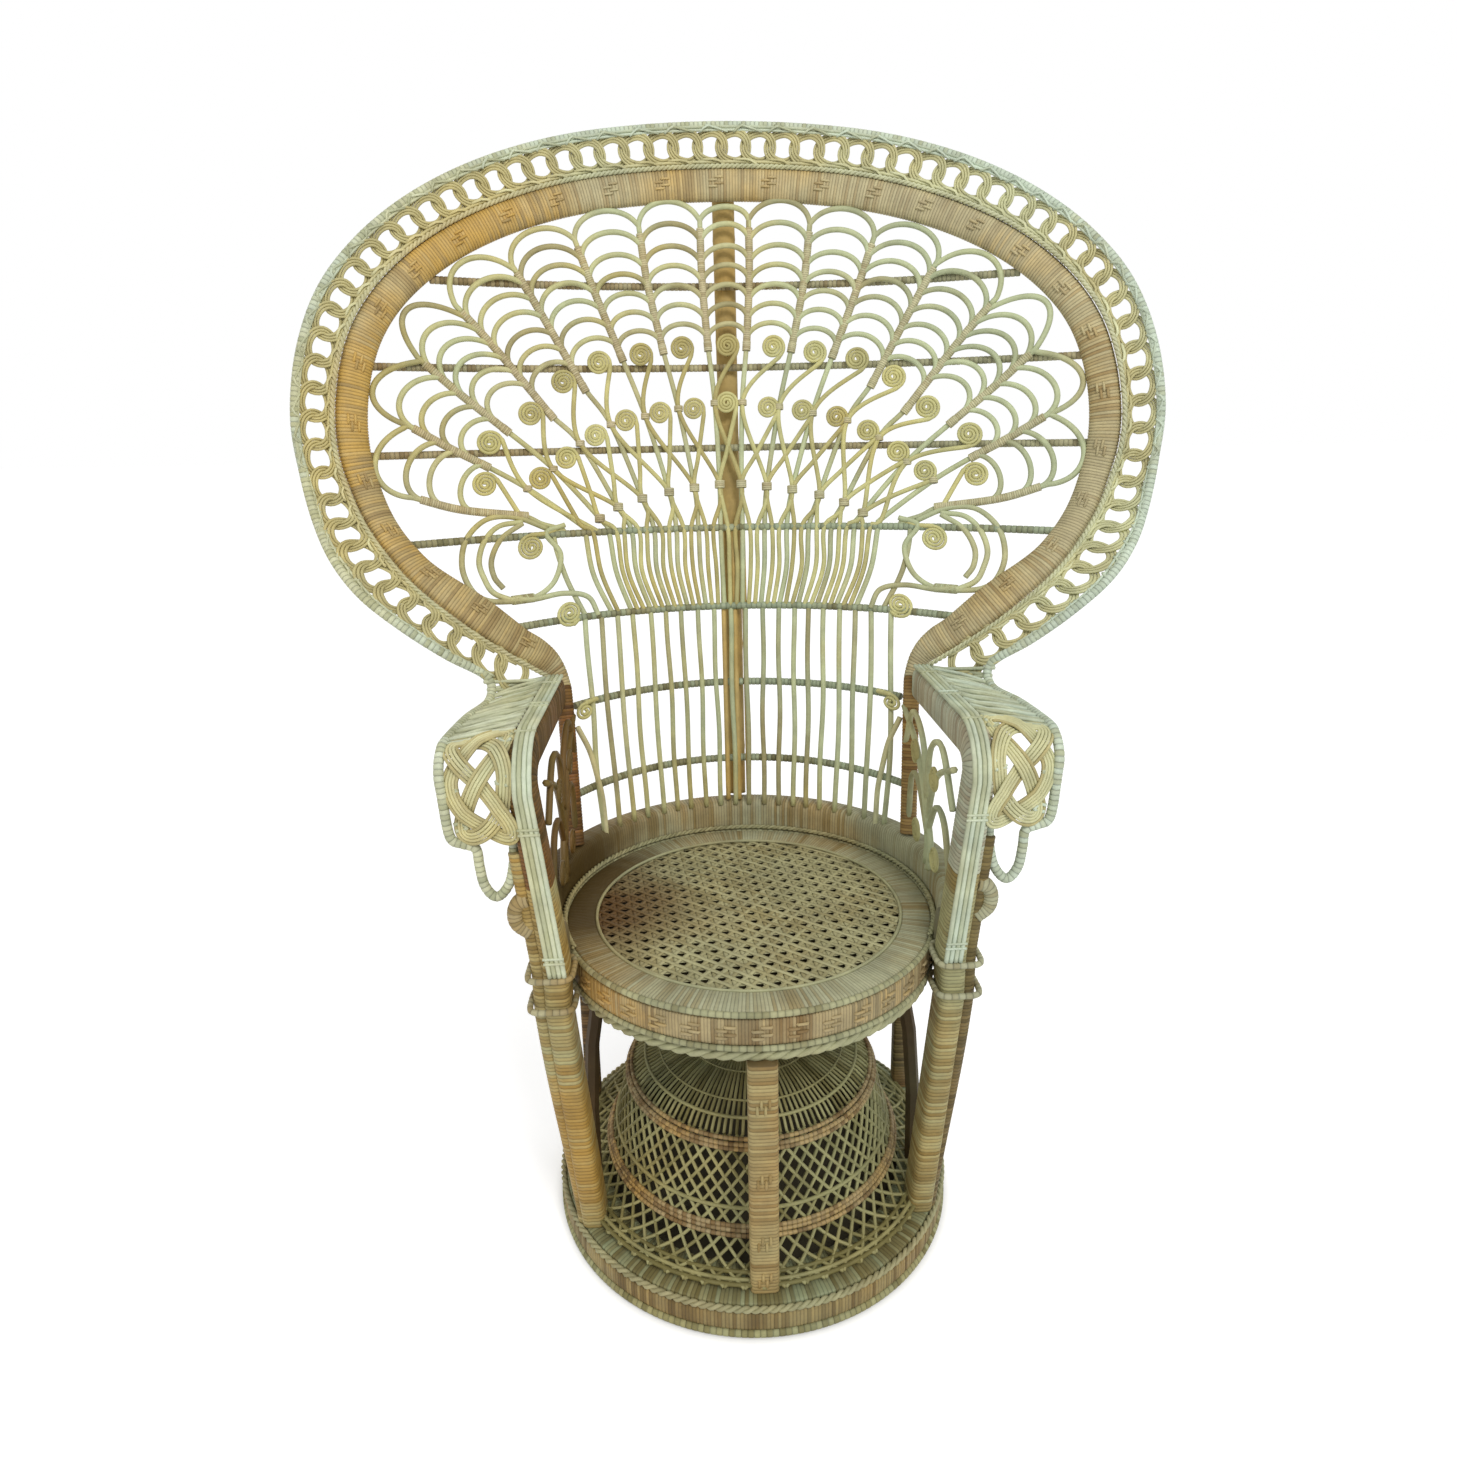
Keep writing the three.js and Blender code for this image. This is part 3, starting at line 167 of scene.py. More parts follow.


# %% [markdown]
# ## The finish of old rattan
# Old rattan is never one colour. Every reed and every turn of a wrapping differs a little, the
# grooves between turns are darkened as painted shade, and this chair has a faint green bloom,
# mostly on its right, and honey-coloured patches of old varnish, mostly on its left. A painted
# picture would have to be unwrapped for thousands of reeds. So one node group does it from three
# attributes of each piece: `tint` is a random number for each reed or turn, `along` is the length
# along it in metres, and `groove` is 1 where two turns meet.

# %% Shared node group for weathered reed
PATCHES, BLOOM_PATCHES, BLOTCHES, SPECKLES = (7.0, 4.0), (6.0, 5.0), (34.0, 5.0), (260.0, 3.0)
BLOOM_SHIFT = (3.1, 7.7, 1.3)
STREAKS_A_METRE = 38.0
STREAKS_A_TINT = 91.0
TINT_PULL = 0.22
PULL_TO_RIGHT = 0.28


def group_sockets(tree):
    socket = tree.interface.new_socket
    for name in ("Light", "Dark", "Varnish", "Bloom"):
        socket(name, in_out="INPUT", socket_type="NodeSocketColor")
    for name in ("Varnish share", "Bloom share", "Grain"):
        socket(name, in_out="INPUT", socket_type="NodeSocketFloat")
    socket("Colour", in_out="OUTPUT", socket_type="NodeSocketColor")
    socket("Roughness", in_out="OUTPUT", socket_type="NodeSocketFloat")
    socket("Height", in_out="OUTPUT", socket_type="NodeSocketFloat")
    return tree.nodes.new("NodeGroupInput").outputs, tree.nodes.new("NodeGroupOutput").inputs


def streaks(tree, tint):
    """Light and dark that run along each reed, in other places on every reed."""
    along = maths(tree, "MULTIPLY", attribute(tree, "along"), STREAKS_A_METRE)
    aside = maths(tree, "MULTIPLY", tint, STREAKS_A_TINT)
    return cloud(tree, add_node(tree, "ShaderNodeCombineXYZ", {"X": along, "Y": aside}).outputs[0], 1.0, 3.0)


def weathered_reed_group():
    tree = bpy.data.node_groups.new("weathered_reed", "ShaderNodeTree")
    given, result = group_sockets(tree)
    place = object_place(tree)
    shifted = add_node(tree, "ShaderNodeVectorMath", {0: place, 1: BLOOM_SHIFT}, operation="ADD").outputs[0]
    blotch, speckle = cloud(tree, place, *BLOTCHES), cloud(tree, place, *SPECKLES)
    tint = attribute(tree, "tint")
    streak = streaks(tree, tint)
    pull = maths(tree, "MULTIPLY", tint, TINT_PULL)
    across = add_node(tree, "ShaderNodeSeparateXYZ", {0: place}).outputs["X"]
    to_right = maths(tree, "MULTIPLY", across, PULL_TO_RIGHT)
    # The reed's own colour, between its dark and its light one
    lightness = ramp(tree, maths(tree, "ADD", tint, streak), 0.45, 1.35)
    colour = mix_colour(tree, lightness, given["Dark"], given["Light"])
    # Patches of varnish, then bloom over them
    field = maths(tree, "ADD", cloud(tree, place, *PATCHES), pull)
    varnish = ramp(tree, maths(tree, "SUBTRACT", field, to_right), 0.58, 0.76)
    varnish = maths(tree, "MULTIPLY", varnish, given["Varnish share"])
    colour = mix_colour(tree, varnish, colour, given["Varnish"])
    field = maths(tree, "ADD", cloud(tree, shifted, *BLOOM_PATCHES), pull)
    bloom = ramp(tree, maths(tree, "ADD", field, to_right), 0.42, 0.78)
    bloom = maths(tree, "MULTIPLY", bloom, given["Bloom share"])
    colour = mix_colour(tree, bloom, colour, given["Bloom"])
    # Blotches and flecks make it lighter and darker, and the grooves get painted shade
    shade = spread(tree, ramp(tree, blotch, 0.25, 0.8), 0.82, 1.1)
    fleck = spread(tree, speckle, 0.86, 1.12)
    groove_shade = spread(tree, attribute(tree, "groove"), 1.0, 0.5)
    for factor in (shade, fleck, groove_shade):
        value = add_node(tree, "ShaderNodeCombineColor", {0: factor, 1: factor, 2: factor}).outputs[0]
        colour = mix_colour(tree, 1.0, colour, value, "MULTIPLY")
    link(tree, colour, result["Colour"])
    # Varnish shines a little, and the grain stands up
    shine = maths(tree, "MULTIPLY", varnish, -0.25)
    link(tree, maths(tree, "ADD", spread(tree, blotch, 0.55, 0.85), shine), result["Roughness"])
    height = maths(tree, "MULTIPLY", maths(tree, "ADD", speckle, streak), given["Grain"])
    link(tree, height, result["Height"])
    return tree


REED_GROUP = weathered_reed_group()
print("the group has", len(REED_GROUP.nodes), "nodes")

# %% [markdown]
# ## Materials
# A material holds the shader and gives the group its colours, and the shares of varnish and bloom.
# The seat is also painted darker brown at its left, a painted shade. A texture could carry it, but a
# distance from one place, broken up by a cloud, goes on over the edge of a piece.

# %% From colours to a material
SHADE_CLOUD = (12.0, 3.0)
SHADE_RAGGED = 0.06
BUMP = {"Strength": 0.35, "Distance": 0.001}
SPECULAR = 0.35


def linear(hex_colour):
    """A colour as written in the web style, in the linear values that nodes use."""
    parts = [int(hex_colour[i:i + 2], 16) / 255 for i in (0, 2, 4)]
    return tuple(v / 12.92 if v < 0.04045 else ((v + 0.055) / 1.055) ** 2.4 for v in parts) + (1.0,)


def painted_shade_round(tree, colour, painted_shade):
    """Painted shade, brown round one place: its colour, centre and two radii."""
    hue, centre, near, far = painted_shade
    place = object_place(tree)
    away = add_node(tree, "ShaderNodeVectorMath", {0: place, 1: centre}, operation="DISTANCE")
    ragged = spread(tree, cloud(tree, place, *SHADE_CLOUD), -SHADE_RAGGED, SHADE_RAGGED)
    away = maths(tree, "ADD", away.outputs["Value"], ragged)
    return mix_colour(tree, ramp(tree, away, near, far), linear(hue), colour)


def reed_material(name, light, dark, varnish, bloom, varnish_share, bloom_share, painted_shade=None):
    material = bpy.data.materials.new(name)
    material.use_nodes = True
    tree = material.node_tree
    shader = tree.nodes["Principled BSDF"]
    group = add_node(tree, "ShaderNodeGroup", node_tree=REED_GROUP)
    fill(tree, group, {"Light": linear(light), "Dark": linear(dark), "Varnish": linear(varnish),
                       "Bloom": linear(bloom), "Varnish share": varnish_share,
                       "Bloom share": bloom_share, "Grain": 0.5})
    colour = group.outputs["Colour"]
    bump = add_node(tree, "ShaderNodeBump", {"Height": group.outputs["Height"], **BUMP})
    # painted shade is mixed into the colour where one is given
    fill(tree, shader, {"Base Color": painted_shade_round(tree, colour, painted_shade) if painted_shade else colour,
                        "Roughness": group.outputs["Roughness"], "Normal": bump.outputs["Normal"],
                        "Specular IOR Level": SPECULAR})
    return material


# %% [markdown]
# ### The colours of this chair
# The colours were judged piece by piece: pale rims and knots, straw reeds, a
# honey-coloured band, a dark leg and arm on the left. One line makes one material: the light
# colour, the dark one, varnish and bloom, and the shares of the last two.

# %% Materials of this chair
# Painted shade: these finishes turn brown round a place at the seat's left, where it lies in shade
SEAT_PAINTED_SHADE = ("4b3a16", (-0.215, SEAT_AXIS_Y + 0.05, 0.42), 0.05, 0.2)
CANE_PAINTED_SHADE = ("5f4420", (-0.215, SEAT_AXIS_Y + 0.02, 0.4), 0.03, 0.19)

STRAW = reed_material("straw_reed", "c6c08f", "a0966a", "c2b05c", "b0c2a0", 0.45, 0.6)
SCROLL = reed_material("scroll_reed", "c9c183", "aea167", "c8b25c", "b4c398", 0.4, 0.25)
# Painted shade: a dark copy of the scroll reeds for the shaded left side under the arm
SCROLL_PAINTED_SHADE = reed_material("scroll_reed_painted_shade", "6f5a2a", "46340f", "6e4a18", "6a6a3c", 0.6, 0.4)
PALE = reed_material("pale_reed", "cfd2b4", "adb08c", "c8c089", "bccebe", 0.35, 0.65)
BEAD = reed_material("bead_reed", "c9bf97", "a69a6d", "c2ad6c", "b9c6a6", 0.4, 0.5)
SEAT_BEAD = reed_material("seat_bead", "aca37a", "867e57", "a8935a", "9faa88", 0.4, 0.45)
LOOP = reed_material("loop_reed", "dcd3a4", "bcb27f", "d0bb74", "c9d6b2", 0.4, 0.45)
KNOT = reed_material("knot_reed", "d0c898", "b0a472", "c8b469", "bcc8a4", 0.35, 0.4)
BINDING = reed_material("stem_binding", "cbbd96", "b2a379", "c2a96e", "bbc59f", 0.35, 0.4)
BAND = reed_material("wrapped_band", "bfab78", "a38b5c", "c9a04a", "b9b798", 0.8, 0.5)
RAIL_PALE = reed_material("pale_rail", "a5a27c", "75704c", "8f7b48", "9cae94", 0.45, 0.7)
RAIL = reed_material("wrapped_rail", "b8aa80", "806d47", "9b7844", "a3ae90", 0.5, 0.5)
POLE = reed_material("cane_pole", "c4a766", "96793e", "c49c4a", "b3ab7c", 0.6, 0.25)
LEG_BROWN = reed_material("leg_brown", "84602c", "583a19", "8a5420", "7d7045", 0.8, 0.2)
LEG_TAN = reed_material("leg_tan", "ad8548", "7f5a2a", "b87a32", "a39a6c", 0.8, 0.3)
# Partly varnish, partly painted shade: the left arm is darker where it lies in shade
ARM_VARNISH_AND_SHADE = reed_material("arm_varnish_and_painted_shade", "77592a", "4e3910", "774a16", "6f6439", 0.8, 0.2)
ARM_TAN = reed_material("arm_tan", "c4bb9c", "a2957a", "bf9c68", "b9c4ae", 0.5, 0.75)
COLUMN = reed_material("column_wrapping", "b39c60", "8b733c", "b98f3d", "a3ad86", 0.6, 0.6)
# Painted shade: a dark copy of the column wrapping for the right outer column, which lies in shade
COLUMN_PAINTED_SHADE = reed_material("column_painted_shade", "85703f", "55431f", "7c5a26", "6d6c48", 0.6, 0.35)
POST = reed_material("post_wrapping", "af955f", "8b6f3d", "b08746", "9fa880", 0.6, 0.35)
# These two carry the painted shade at the seat's left
SEAT = reed_material("seat_wrapping", "b0a27b", "917e51", "a8884c", "a9b296", 0.6, 0.6, SEAT_PAINTED_SHADE)
CANE = reed_material("seat_cane", "afa579", "968b60", "a9925a", "a5aa86", 0.35, 0.4, CANE_PAINTED_SHADE)
# Painted shade: the colour of the sheet under the cane, dark like the shade below the seat
PAINTED_SHADE_SHEET = reed_material("painted_shade_under_cane", "4a4026", "332b17", "4a3d20", "40391f", 0.3, 0.3)
APRON = reed_material("apron_wrapping", "ae9467", "7c6138", "b98f42", "a9aa88", 0.7, 0.35)
BASE = reed_material("base_wrapping", "998251", "6f5a30", "a5813f", "8f9670", 0.6, 0.35)
FLOOR_REED = reed_material("floor_reed", "a9a26f", "7d7548", "a08c4f", "99a381", 0.4, 0.5)
DECK = reed_material("base_deck_reed", "938b5e", "6d6339", "8f7c42", "93a585", 0.4, 0.6)
DOME = reed_material("dome_reed", "a59c68", "6f6739", "99854a", "8f9c78", 0.4, 0.4)
SHADED = reed_material("shaded_pole", "7e693c", "46351a", "80521f", "727a59", 0.6, 0.3)
print(len(bpy.data.materials), "materials")

# %% [markdown]
# ## Paths
# A path is a row of points in metres. A Blender curve could hold it, but every reed also needs its
# length, its direction and places at even steps, and numpy gives those for many points at once.
# `smooth` draws a soft line through a few points, like a reed bent round pegs.

# %% Path helpers
def unit(vectors):
    return vectors / np.maximum(np.linalg.norm(vectors, axis=-1, keepdims=True), 1e-12)


def lerp(a, b, t):
    return a + (b - a) * t


def smoothstep(value, low, high):
    t = np.clip((value - low) / (high - low), 0, 1)
    return t * t * (3 - 2 * t)


def lengths(points):
    steps = np.linalg.norm(np.diff(points, axis=0), axis=1)
    return np.concatenate([[0], np.cumsum(steps)])


def read_off(places, marks, rows):
    """The values of rows between their marks, column by column."""
    return np.stack([np.interp(places, marks, rows[:, k]) for k in range(rows.shape[1])], axis=1)


def resample(points, places):
    """Points at those lengths along a line of points."""
    return read_off(places, lengths(points), points)


def curve_through(points, count):
    """A Catmull-Rom curve through the points, at even steps from one point to the next."""
    ends = np.vstack([2 * points[0] - points[1], points, 2 * points[-1] - points[-2]])
    t = np.linspace(0, len(points) - 1, count)
    i = np.minimum(t.astype(int), len(points) - 2)
    u = (t - i)[:, None]
    a, b, c, d = ends[i], ends[i + 1], ends[i + 2], ends[i + 3]
    square = 2 * a - 5 * b + 4 * c - d
    cube = 3 * b - a - 3 * c + d
    return 0.5 * (2 * b + (c - a) * u + square * u ** 2 + cube * u ** 3)


def smooth(points, count):
    """A smooth line through a few points, evenly spaced along it."""
    line = curve_through(np.asarray(points, dtype=float), 12 * len(points))
    return resample(line, np.linspace(0, lengths(line)[-1], count))


def tangents(points, closed=False):
    if closed:
        return unit(np.roll(points, -1, axis=0) - np.roll(points, 1, axis=0))
    return unit(np.gradient(points, axis=0))


def beside(way, face):
    """Two directions square to a path: to its side, and out of its face."""
    face = np.broadcast_to(np.asarray(face, dtype=float), way.shape)
    out = unit(face - np.einsum("ij,ij->i", face, way)[:, None] * way)
    return np.cross(way, out), out


def round_section(way, face, sides, flat):
    """Corners round a path at each of its places; flat squeezes them along the face."""
    side, out = beside(way, face)
    angle = (2 * np.pi * (np.arange(sides) + 0.5) / sides)[None, :, None]
    return side[:, None] * np.cos(angle) + flat * out[:, None] * np.sin(angle)


# %% [markdown]
# ## From paths to reeds
# A reed is a tube along a path. A curve object with a bevel would make one too, but it could not
# say where each turn of a wrapping begins. `Reeds` collects tubes with the attributes that the
# finish reads, and makes one mesh of them. A body whose volume comes out negative has its corners
# put the other way round, so that its faces point outwards.

# %% Reeds: lofts and tubes with their attributes
def hand_over(piece, replaces=()):
    """Puts a piece in the scene under the root and hides the nodes that it stands for."""
    if piece.name not in bpy.context.scene.collection.objects:
        show(piece)
    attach(piece, "root")
    if replaces:
        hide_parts(*replaces)
    print(piece.name, sum(len(p.vertices) - 2 for p in piece.data.polygons), "triangles")
    return piece


class Reeds:
    def __init__(self):
        self.points, self.quads, self.caps = [], [], []
        self.values = {"tint": [], "along": [], "groove": []}
        self.count = 0

    def loft(self, sections, closed=False, tint=None, groove=0.0, along=None):
        """A closed body through sections of equal size, an array of [section, corner, xyz]."""
        rows, corners = sections.shape[:2]
        index = np.arange(rows * corners).reshape(rows, corners)
        here = index if closed else index[:-1]
        there = np.roll(index, -1, axis=0) if closed else index[1:]
        quads = np.stack([here, np.roll(here, -1, axis=1), np.roll(there, -1, axis=1), there], axis=-1)
        quads = quads.reshape(-1, 4)
        flat = sections.reshape(-1, 3)
        a, b, c, d = (flat[quads[:, k]] for k in range(4))
        middle = flat.mean(axis=0)
        volume = np.einsum("ij,ij->i", np.cross(b - a, d - a), a - middle).sum()
        volume += np.einsum("ij,ij->i", np.cross(d - c, b - c), c - middle).sum()
        caps = [] if closed else [index[0][::-1], index[-1]]
        if volume < 0:
            quads, caps = quads[:, ::-1], [cap[::-1] for cap in caps]
        along = lengths(sections.mean(axis=1)) if along is None else along
        tint = random.random() if tint is None else tint
        self.points.append(flat)
        self.quads.append(quads + self.count)
        self.caps += [cap + self.count for cap in caps]
        for key, value in (("tint", tint), ("along", along), ("groove", groove)):
            column = np.broadcast_to(np.asarray(value, dtype=float).reshape(-1, 1), (rows, corners))
            self.values[key].append(column.ravel())
        self.count += rows * corners

    def tube(self, points, radius, sides=6, face=(0, 1, 0), flat=1.0, closed=False, **values):
        """A reed along points. flat squeezes it along its face direction."""
        points = np.asarray(points, dtype=float)
        radius = np.broadcast_to(np.asarray(radius, dtype=float).reshape(-1, 1, 1), (len(points), 1, 1))
        ring = round_section(tangents(points, closed), face, sides, flat)
        self.loft(points[:, None] + radius * ring, closed=closed, **values)

    def finish(self, name, material, replaces=(), slot=None):
        """One mesh of all that was collected, moved to the seat's middle."""
        points = np.vstack(self.points) + np.array([0, SEAT_AXIS_Y, 0])
        quads = np.vstack(self.quads)
        loops = np.concatenate([quads.ravel(), *self.caps])
        sizes = np.concatenate([np.full(len(quads), 4), [len(cap) for cap in self.caps]]).astype(int)
        mesh = bpy.data.meshes.new(name)
        mesh.vertices.add(len(points))
        mesh.vertices.foreach_set("co", points.ravel())
        mesh.loops.add(len(loops))
        mesh.loops.foreach_set("vertex_index", loops)
        mesh.polygons.add(len(sizes))
        mesh.polygons.foreach_set("loop_start", np.concatenate([[0], np.cumsum(sizes)[:-1]]))
        mesh.polygons.foreach_set("use_smooth", np.ones(len(sizes), dtype=bool))
        mesh.update(calc_edges=True)
        for key, columns in self.values.items():
            mesh.attributes.new(key, "FLOAT", "POINT").data.foreach_set("value", np.concatenate(columns))
        mesh.materials.append(material)
        return hand_over(bpy.data.objects.new(name, mesh), replaces)


# %% [markdown]
# ### Wrapped bars and ropes
# Poles are wound with flat strips of cane, edge to edge, and rope edges are plaited from two or
# three reeds. A bump map could draw the wrapping, but in the photograph its outline is ribbed. So
# each turn gets four sections, a groove where it meets the next, and its own tint. In a rope each
# strand is a tube that winds round the path.

# %% Strands: reeds, wrapped bars and ropes
class Strands(Reeds):
    def wrapped(self, station, length, turn, depth, closed=False):
        """A bar wound with cane. station(lengths) gives its sections, one for each length."""
        turns = max(int(round(length / turn)), 2)
        starts = np.linspace(0, length, turns + 1)[:-1]
        width = length / turns
        places = (starts[:, None] + width * np.array([0, 0.16, 0.5, 0.84])).ravel()
        groove = np.tile([1.0, 0.12, 0.0, 0.12], turns)
        tint = np.repeat(random.random(turns), 4)
        if not closed:
            places, groove = np.append(places, length), np.append(groove, 1.0)
            tint = np.append(tint, tint[-1])
        sections = station(places)
        middle = sections.mean(axis=1, keepdims=True)
        sections = sections - unit(sections - middle) * (depth * groove ** 2)[:, None, None]
        self.loft(sections, closed=closed, tint=tint, groove=groove, along=places)

    def wrapped_tube(self, points, radius, turn, depth, sides=8, face=(0, 1, 0), closed=False):
        """A round bar along points, wound with cane."""
        points = np.asarray(points, dtype=float)
        way = tangents(points, closed)
        if closed:
            points, way = np.vstack([points, points[:1]]), np.vstack([way, way[:1]])
        s = lengths(points)
        radii = np.broadcast_to(np.asarray(radius, dtype=float), (len(points),))

        def station(places):
            ring = round_section(unit(read_off(places, s, way)), face, sides, 1.0)
            return resample(points, places)[:, None] + np.interp(places, s, radii)[:, None, None] * ring

        self.wrapped(station, s[-1], turn, depth, closed)

    def twisted(self, points, radius, strands, pitch, closed=False, face=UP, sides=5):
        """A rope: some strands wound round each other along a path."""
        points = np.asarray(points, dtype=float)
        line = np.vstack([points, points[:1]]) if closed else points
        length = lengths(line)[-1]
        turns = max(int(round(length / pitch)), 1)
        count = turns * 10
        centre = resample(line, np.linspace(0, length, count + 1))
        centre = centre[:-1] if closed else centre
        side, out = beside(tangents(centre, closed), face)
        strand = radius / (1 + 1 / math.sin(math.pi / strands)) * 1.12
        for k in range(strands):
            angle = 2 * np.pi * (np.arange(len(centre)) * turns / count + k / strands)
            away = side * np.cos(angle)[:, None] + out * np.sin(angle)[:, None]
            self.tube(centre + away * (radius - strand), strand, sides, face=away, closed=closed)


# %% [markdown]
# ### Square and rounded bars
# The band, the legs, the arms and the rings of the seat are bundles of poles, flat on their sides
# and soft at their edges. A bevel would need a modifier on every bar. A superellipse gives such a
# section with one number, and `station_between` gives it at any length.

# %% Sections of wound bars
def superellipse(count, power=0.55):
    angle = 2 * np.pi * (np.arange(count) + 0.5) / count
    u, v = np.cos(angle), np.sin(angle)
    return np.sign(u) * np.abs(u) ** power, np.sign(v) * np.abs(v) ** power


def section_rows(centre, half_u, half_v, count=14, power=0.55):
    u, v = superellipse(count, power)
    return centre[:, None] + half_u[:, None] * u[None, :, None] + half_v[:, None] * v[None, :, None]


def station_between(sections):
    """Turns a dense row of sections into a function of the length along their middles."""
    s = lengths(sections.mean(axis=1))
    flat = sections.reshape(len(sections), -1)

    def station(places):
        i = np.clip(np.searchsorted(s, places) - 1, 0, len(s) - 2)
        t = ((places - s[i]) / (s[i + 1] - s[i]))[:, None]
        return (flat[i] * (1 - t) + flat[i + 1] * t).reshape(len(places), -1, 3)

    return station, s[-1]


print("a section has corners such as", [round(float(v[0]), 3) for v in superellipse(12)])

# %% [markdown]
# ## The curved back
# The back is one sheet that leans back and wraps forward at the sides, more tightly near the seat.
# A flat back could be bent by a modifier. Here every reed is drawn flat, as it is seen from the
# front, and `on_back` lays it on the sheet. So the drawing is easy to compare with the photograph.

# %% The sheet of the back
SEAT_HEIGHT = float(node_box("seat_rim")[1][2])
CURB_TOP = float(node_box("back_curb")[1][2])
HOOP_TOP = float(node_box("hoop_rim")[1][2])
SEAT_RADIUS = float(node_box("seat_upper_cane")[1][0])
BACK_SETBACK = 0.23
BACK_LEAN = math.radians(9.8)
WRAP_LOW, WRAP_HIGH = 1 / 0.25, 1 / 0.87
WRAP_START, WRAP_END = 0.5, 0.93


def back_depth(x, z):
    bend = x * lerp(WRAP_LOW, WRAP_HIGH, smoothstep(z, WRAP_START, WRAP_END))
    wrap = x * (bend / 2 + bend ** 3 / 8 + bend ** 5 / 16)
    return BACK_SETBACK + math.tan(BACK_LEAN) * (z - SEAT_HEIGHT) - wrap


def on_back(flat, forward=0.0):
    """Flat points, across and up, laid on the back. forward moves them towards the sitter."""
    flat = np.asarray(flat, dtype=float)
    depth = back_depth(flat[:, 0], flat[:, 1]) - forward
    return np.stack([flat[:, 0], depth, flat[:, 1]], axis=1)


print("at the seat the back stands", round(float(back_depth(0, SEAT_HEIGHT)), 3), "m behind the middle")

# %% [markdown]
# ## Outlines of the hoop
# Three outlines make the hoop: the rim, the bead beside the band, and the band's inner edge. They
# could be traced point by point. Ten places each, as shares of the half width and height, are
# enough for a soft curve. The left half mirrors the right.

# %% Three outlines
HOOP_HALF_WIDTH = 0.552
RIM_SHARES = [(0, 1), (0.351, 0.982), (0.623, 0.93), (0.828, 0.847), (0.957, 0.737),
              (1, 0.594), (0.96, 0.477), (0.857, 0.401), (0.703, 0.331), (0.563, 0.27)]
BEAD_SHARES = [(0, 0.939), (0.325, 0.924), (0.576, 0.879), (0.765, 0.809), (0.884, 0.715),
               (0.924, 0.594), (0.891, 0.497), (0.792, 0.418), (0.647, 0.344), (0.466, 0.264)]
BAND_SHARES = [(0, 0.891), (0.302, 0.878), (0.535, 0.84), (0.711, 0.779), (0.821, 0.699),
               (0.859, 0.594), (0.83, 0.497), (0.739, 0.424), (0.589, 0.36), (0.418, 0.272)]


def hoop_outline(shares, count=420):
    """One outline of the hoop, from the left neck over the top to the right neck."""
    half = np.array([[a * HOOP_HALF_WIDTH, lerp(SEAT_HEIGHT, HOOP_TOP, u)] for a, u in shares])
    return curve_through(np.vstack([half[::-1] * [-1, 1], half[1:]]), count)


RIM_LINE, BEAD_LINE, BAND_LINE = (hoop_outline(s) for s in (RIM_SHARES, BEAD_SHARES, BAND_SHARES))
BAND_TOP = BAND_LINE[:, 1].max()
print("the hoop's opening is", round(2 * BAND_LINE[:, 0].max(), 3), "m wide, up to", round(BAND_TOP, 3))

# %% [markdown]
# ## Woven patches
# Small stepped patterns break the wrapping of the band, the apron and the front post. On the chair
# they are strips that run over some turns and under others. A colour pattern would look flat, so
# each patch is four short strips, out of step, whose ends dip into the wrapping.

# %% Woven patch
PATCH_REED, PATCH_ROWS = 0.0017, 4


def woven_patch(strands, centre, way, across, normal, length, pitch=0.0044):
    """Short strips along way, side by side and out of step; normal points out of the wrapping."""
    share = np.array([-0.5, -0.38, 0.38, 0.5])[:, None]
    rise = np.array([-0.9, 0.7, 0.7, -0.9])[:, None] * PATCH_REED
    for k in range(PATCH_ROWS):
        middle = centre + across * (k - (PATCH_ROWS - 1) / 2) * pitch + way * (k % 2 - 0.5) * length * 0.7
        strands.tube(middle + share * length * way + rise * normal, PATCH_REED, 5, face=normal)


# %% [markdown]
# ## The band of the hoop and its legs
# The wide inner band is wound over a core of poles. At the neck it narrows, turns and goes on as a
# square leg behind the seat. Two objects would need a joint to hide. Here one row of sections runs
# from the top of the hoop to the foot of the leg: first they lie in the sheet of the back, and
# below the neck they turn square to the chair.

# %% Sections of the band and the leg
BAND_THICKNESS = 0.022
BAND_SHARE = 0.94
LEG_WIDTH = 0.022
LEG_AZIMUTH = math.radians(114)
LEG_TOP = (0.236, 0.645)
NECK_CUT = 12
NECK_BEND = [(0.2735, 0.6965), (0.2535, 0.6765), (0.242, 0.653), (0.2375, 0.626)]
NECK_LENGTH = 0.085

leg_radius = SEAT_RADIUS + LEG_WIDTH * 0.66
LEG_FOOT = np.array([leg_radius * math.sin(LEG_AZIMUTH), -leg_radius * math.cos(LEG_AZIMUTH), CURB_TOP])
LEG_HEAD = on_back([LEG_TOP])[0]


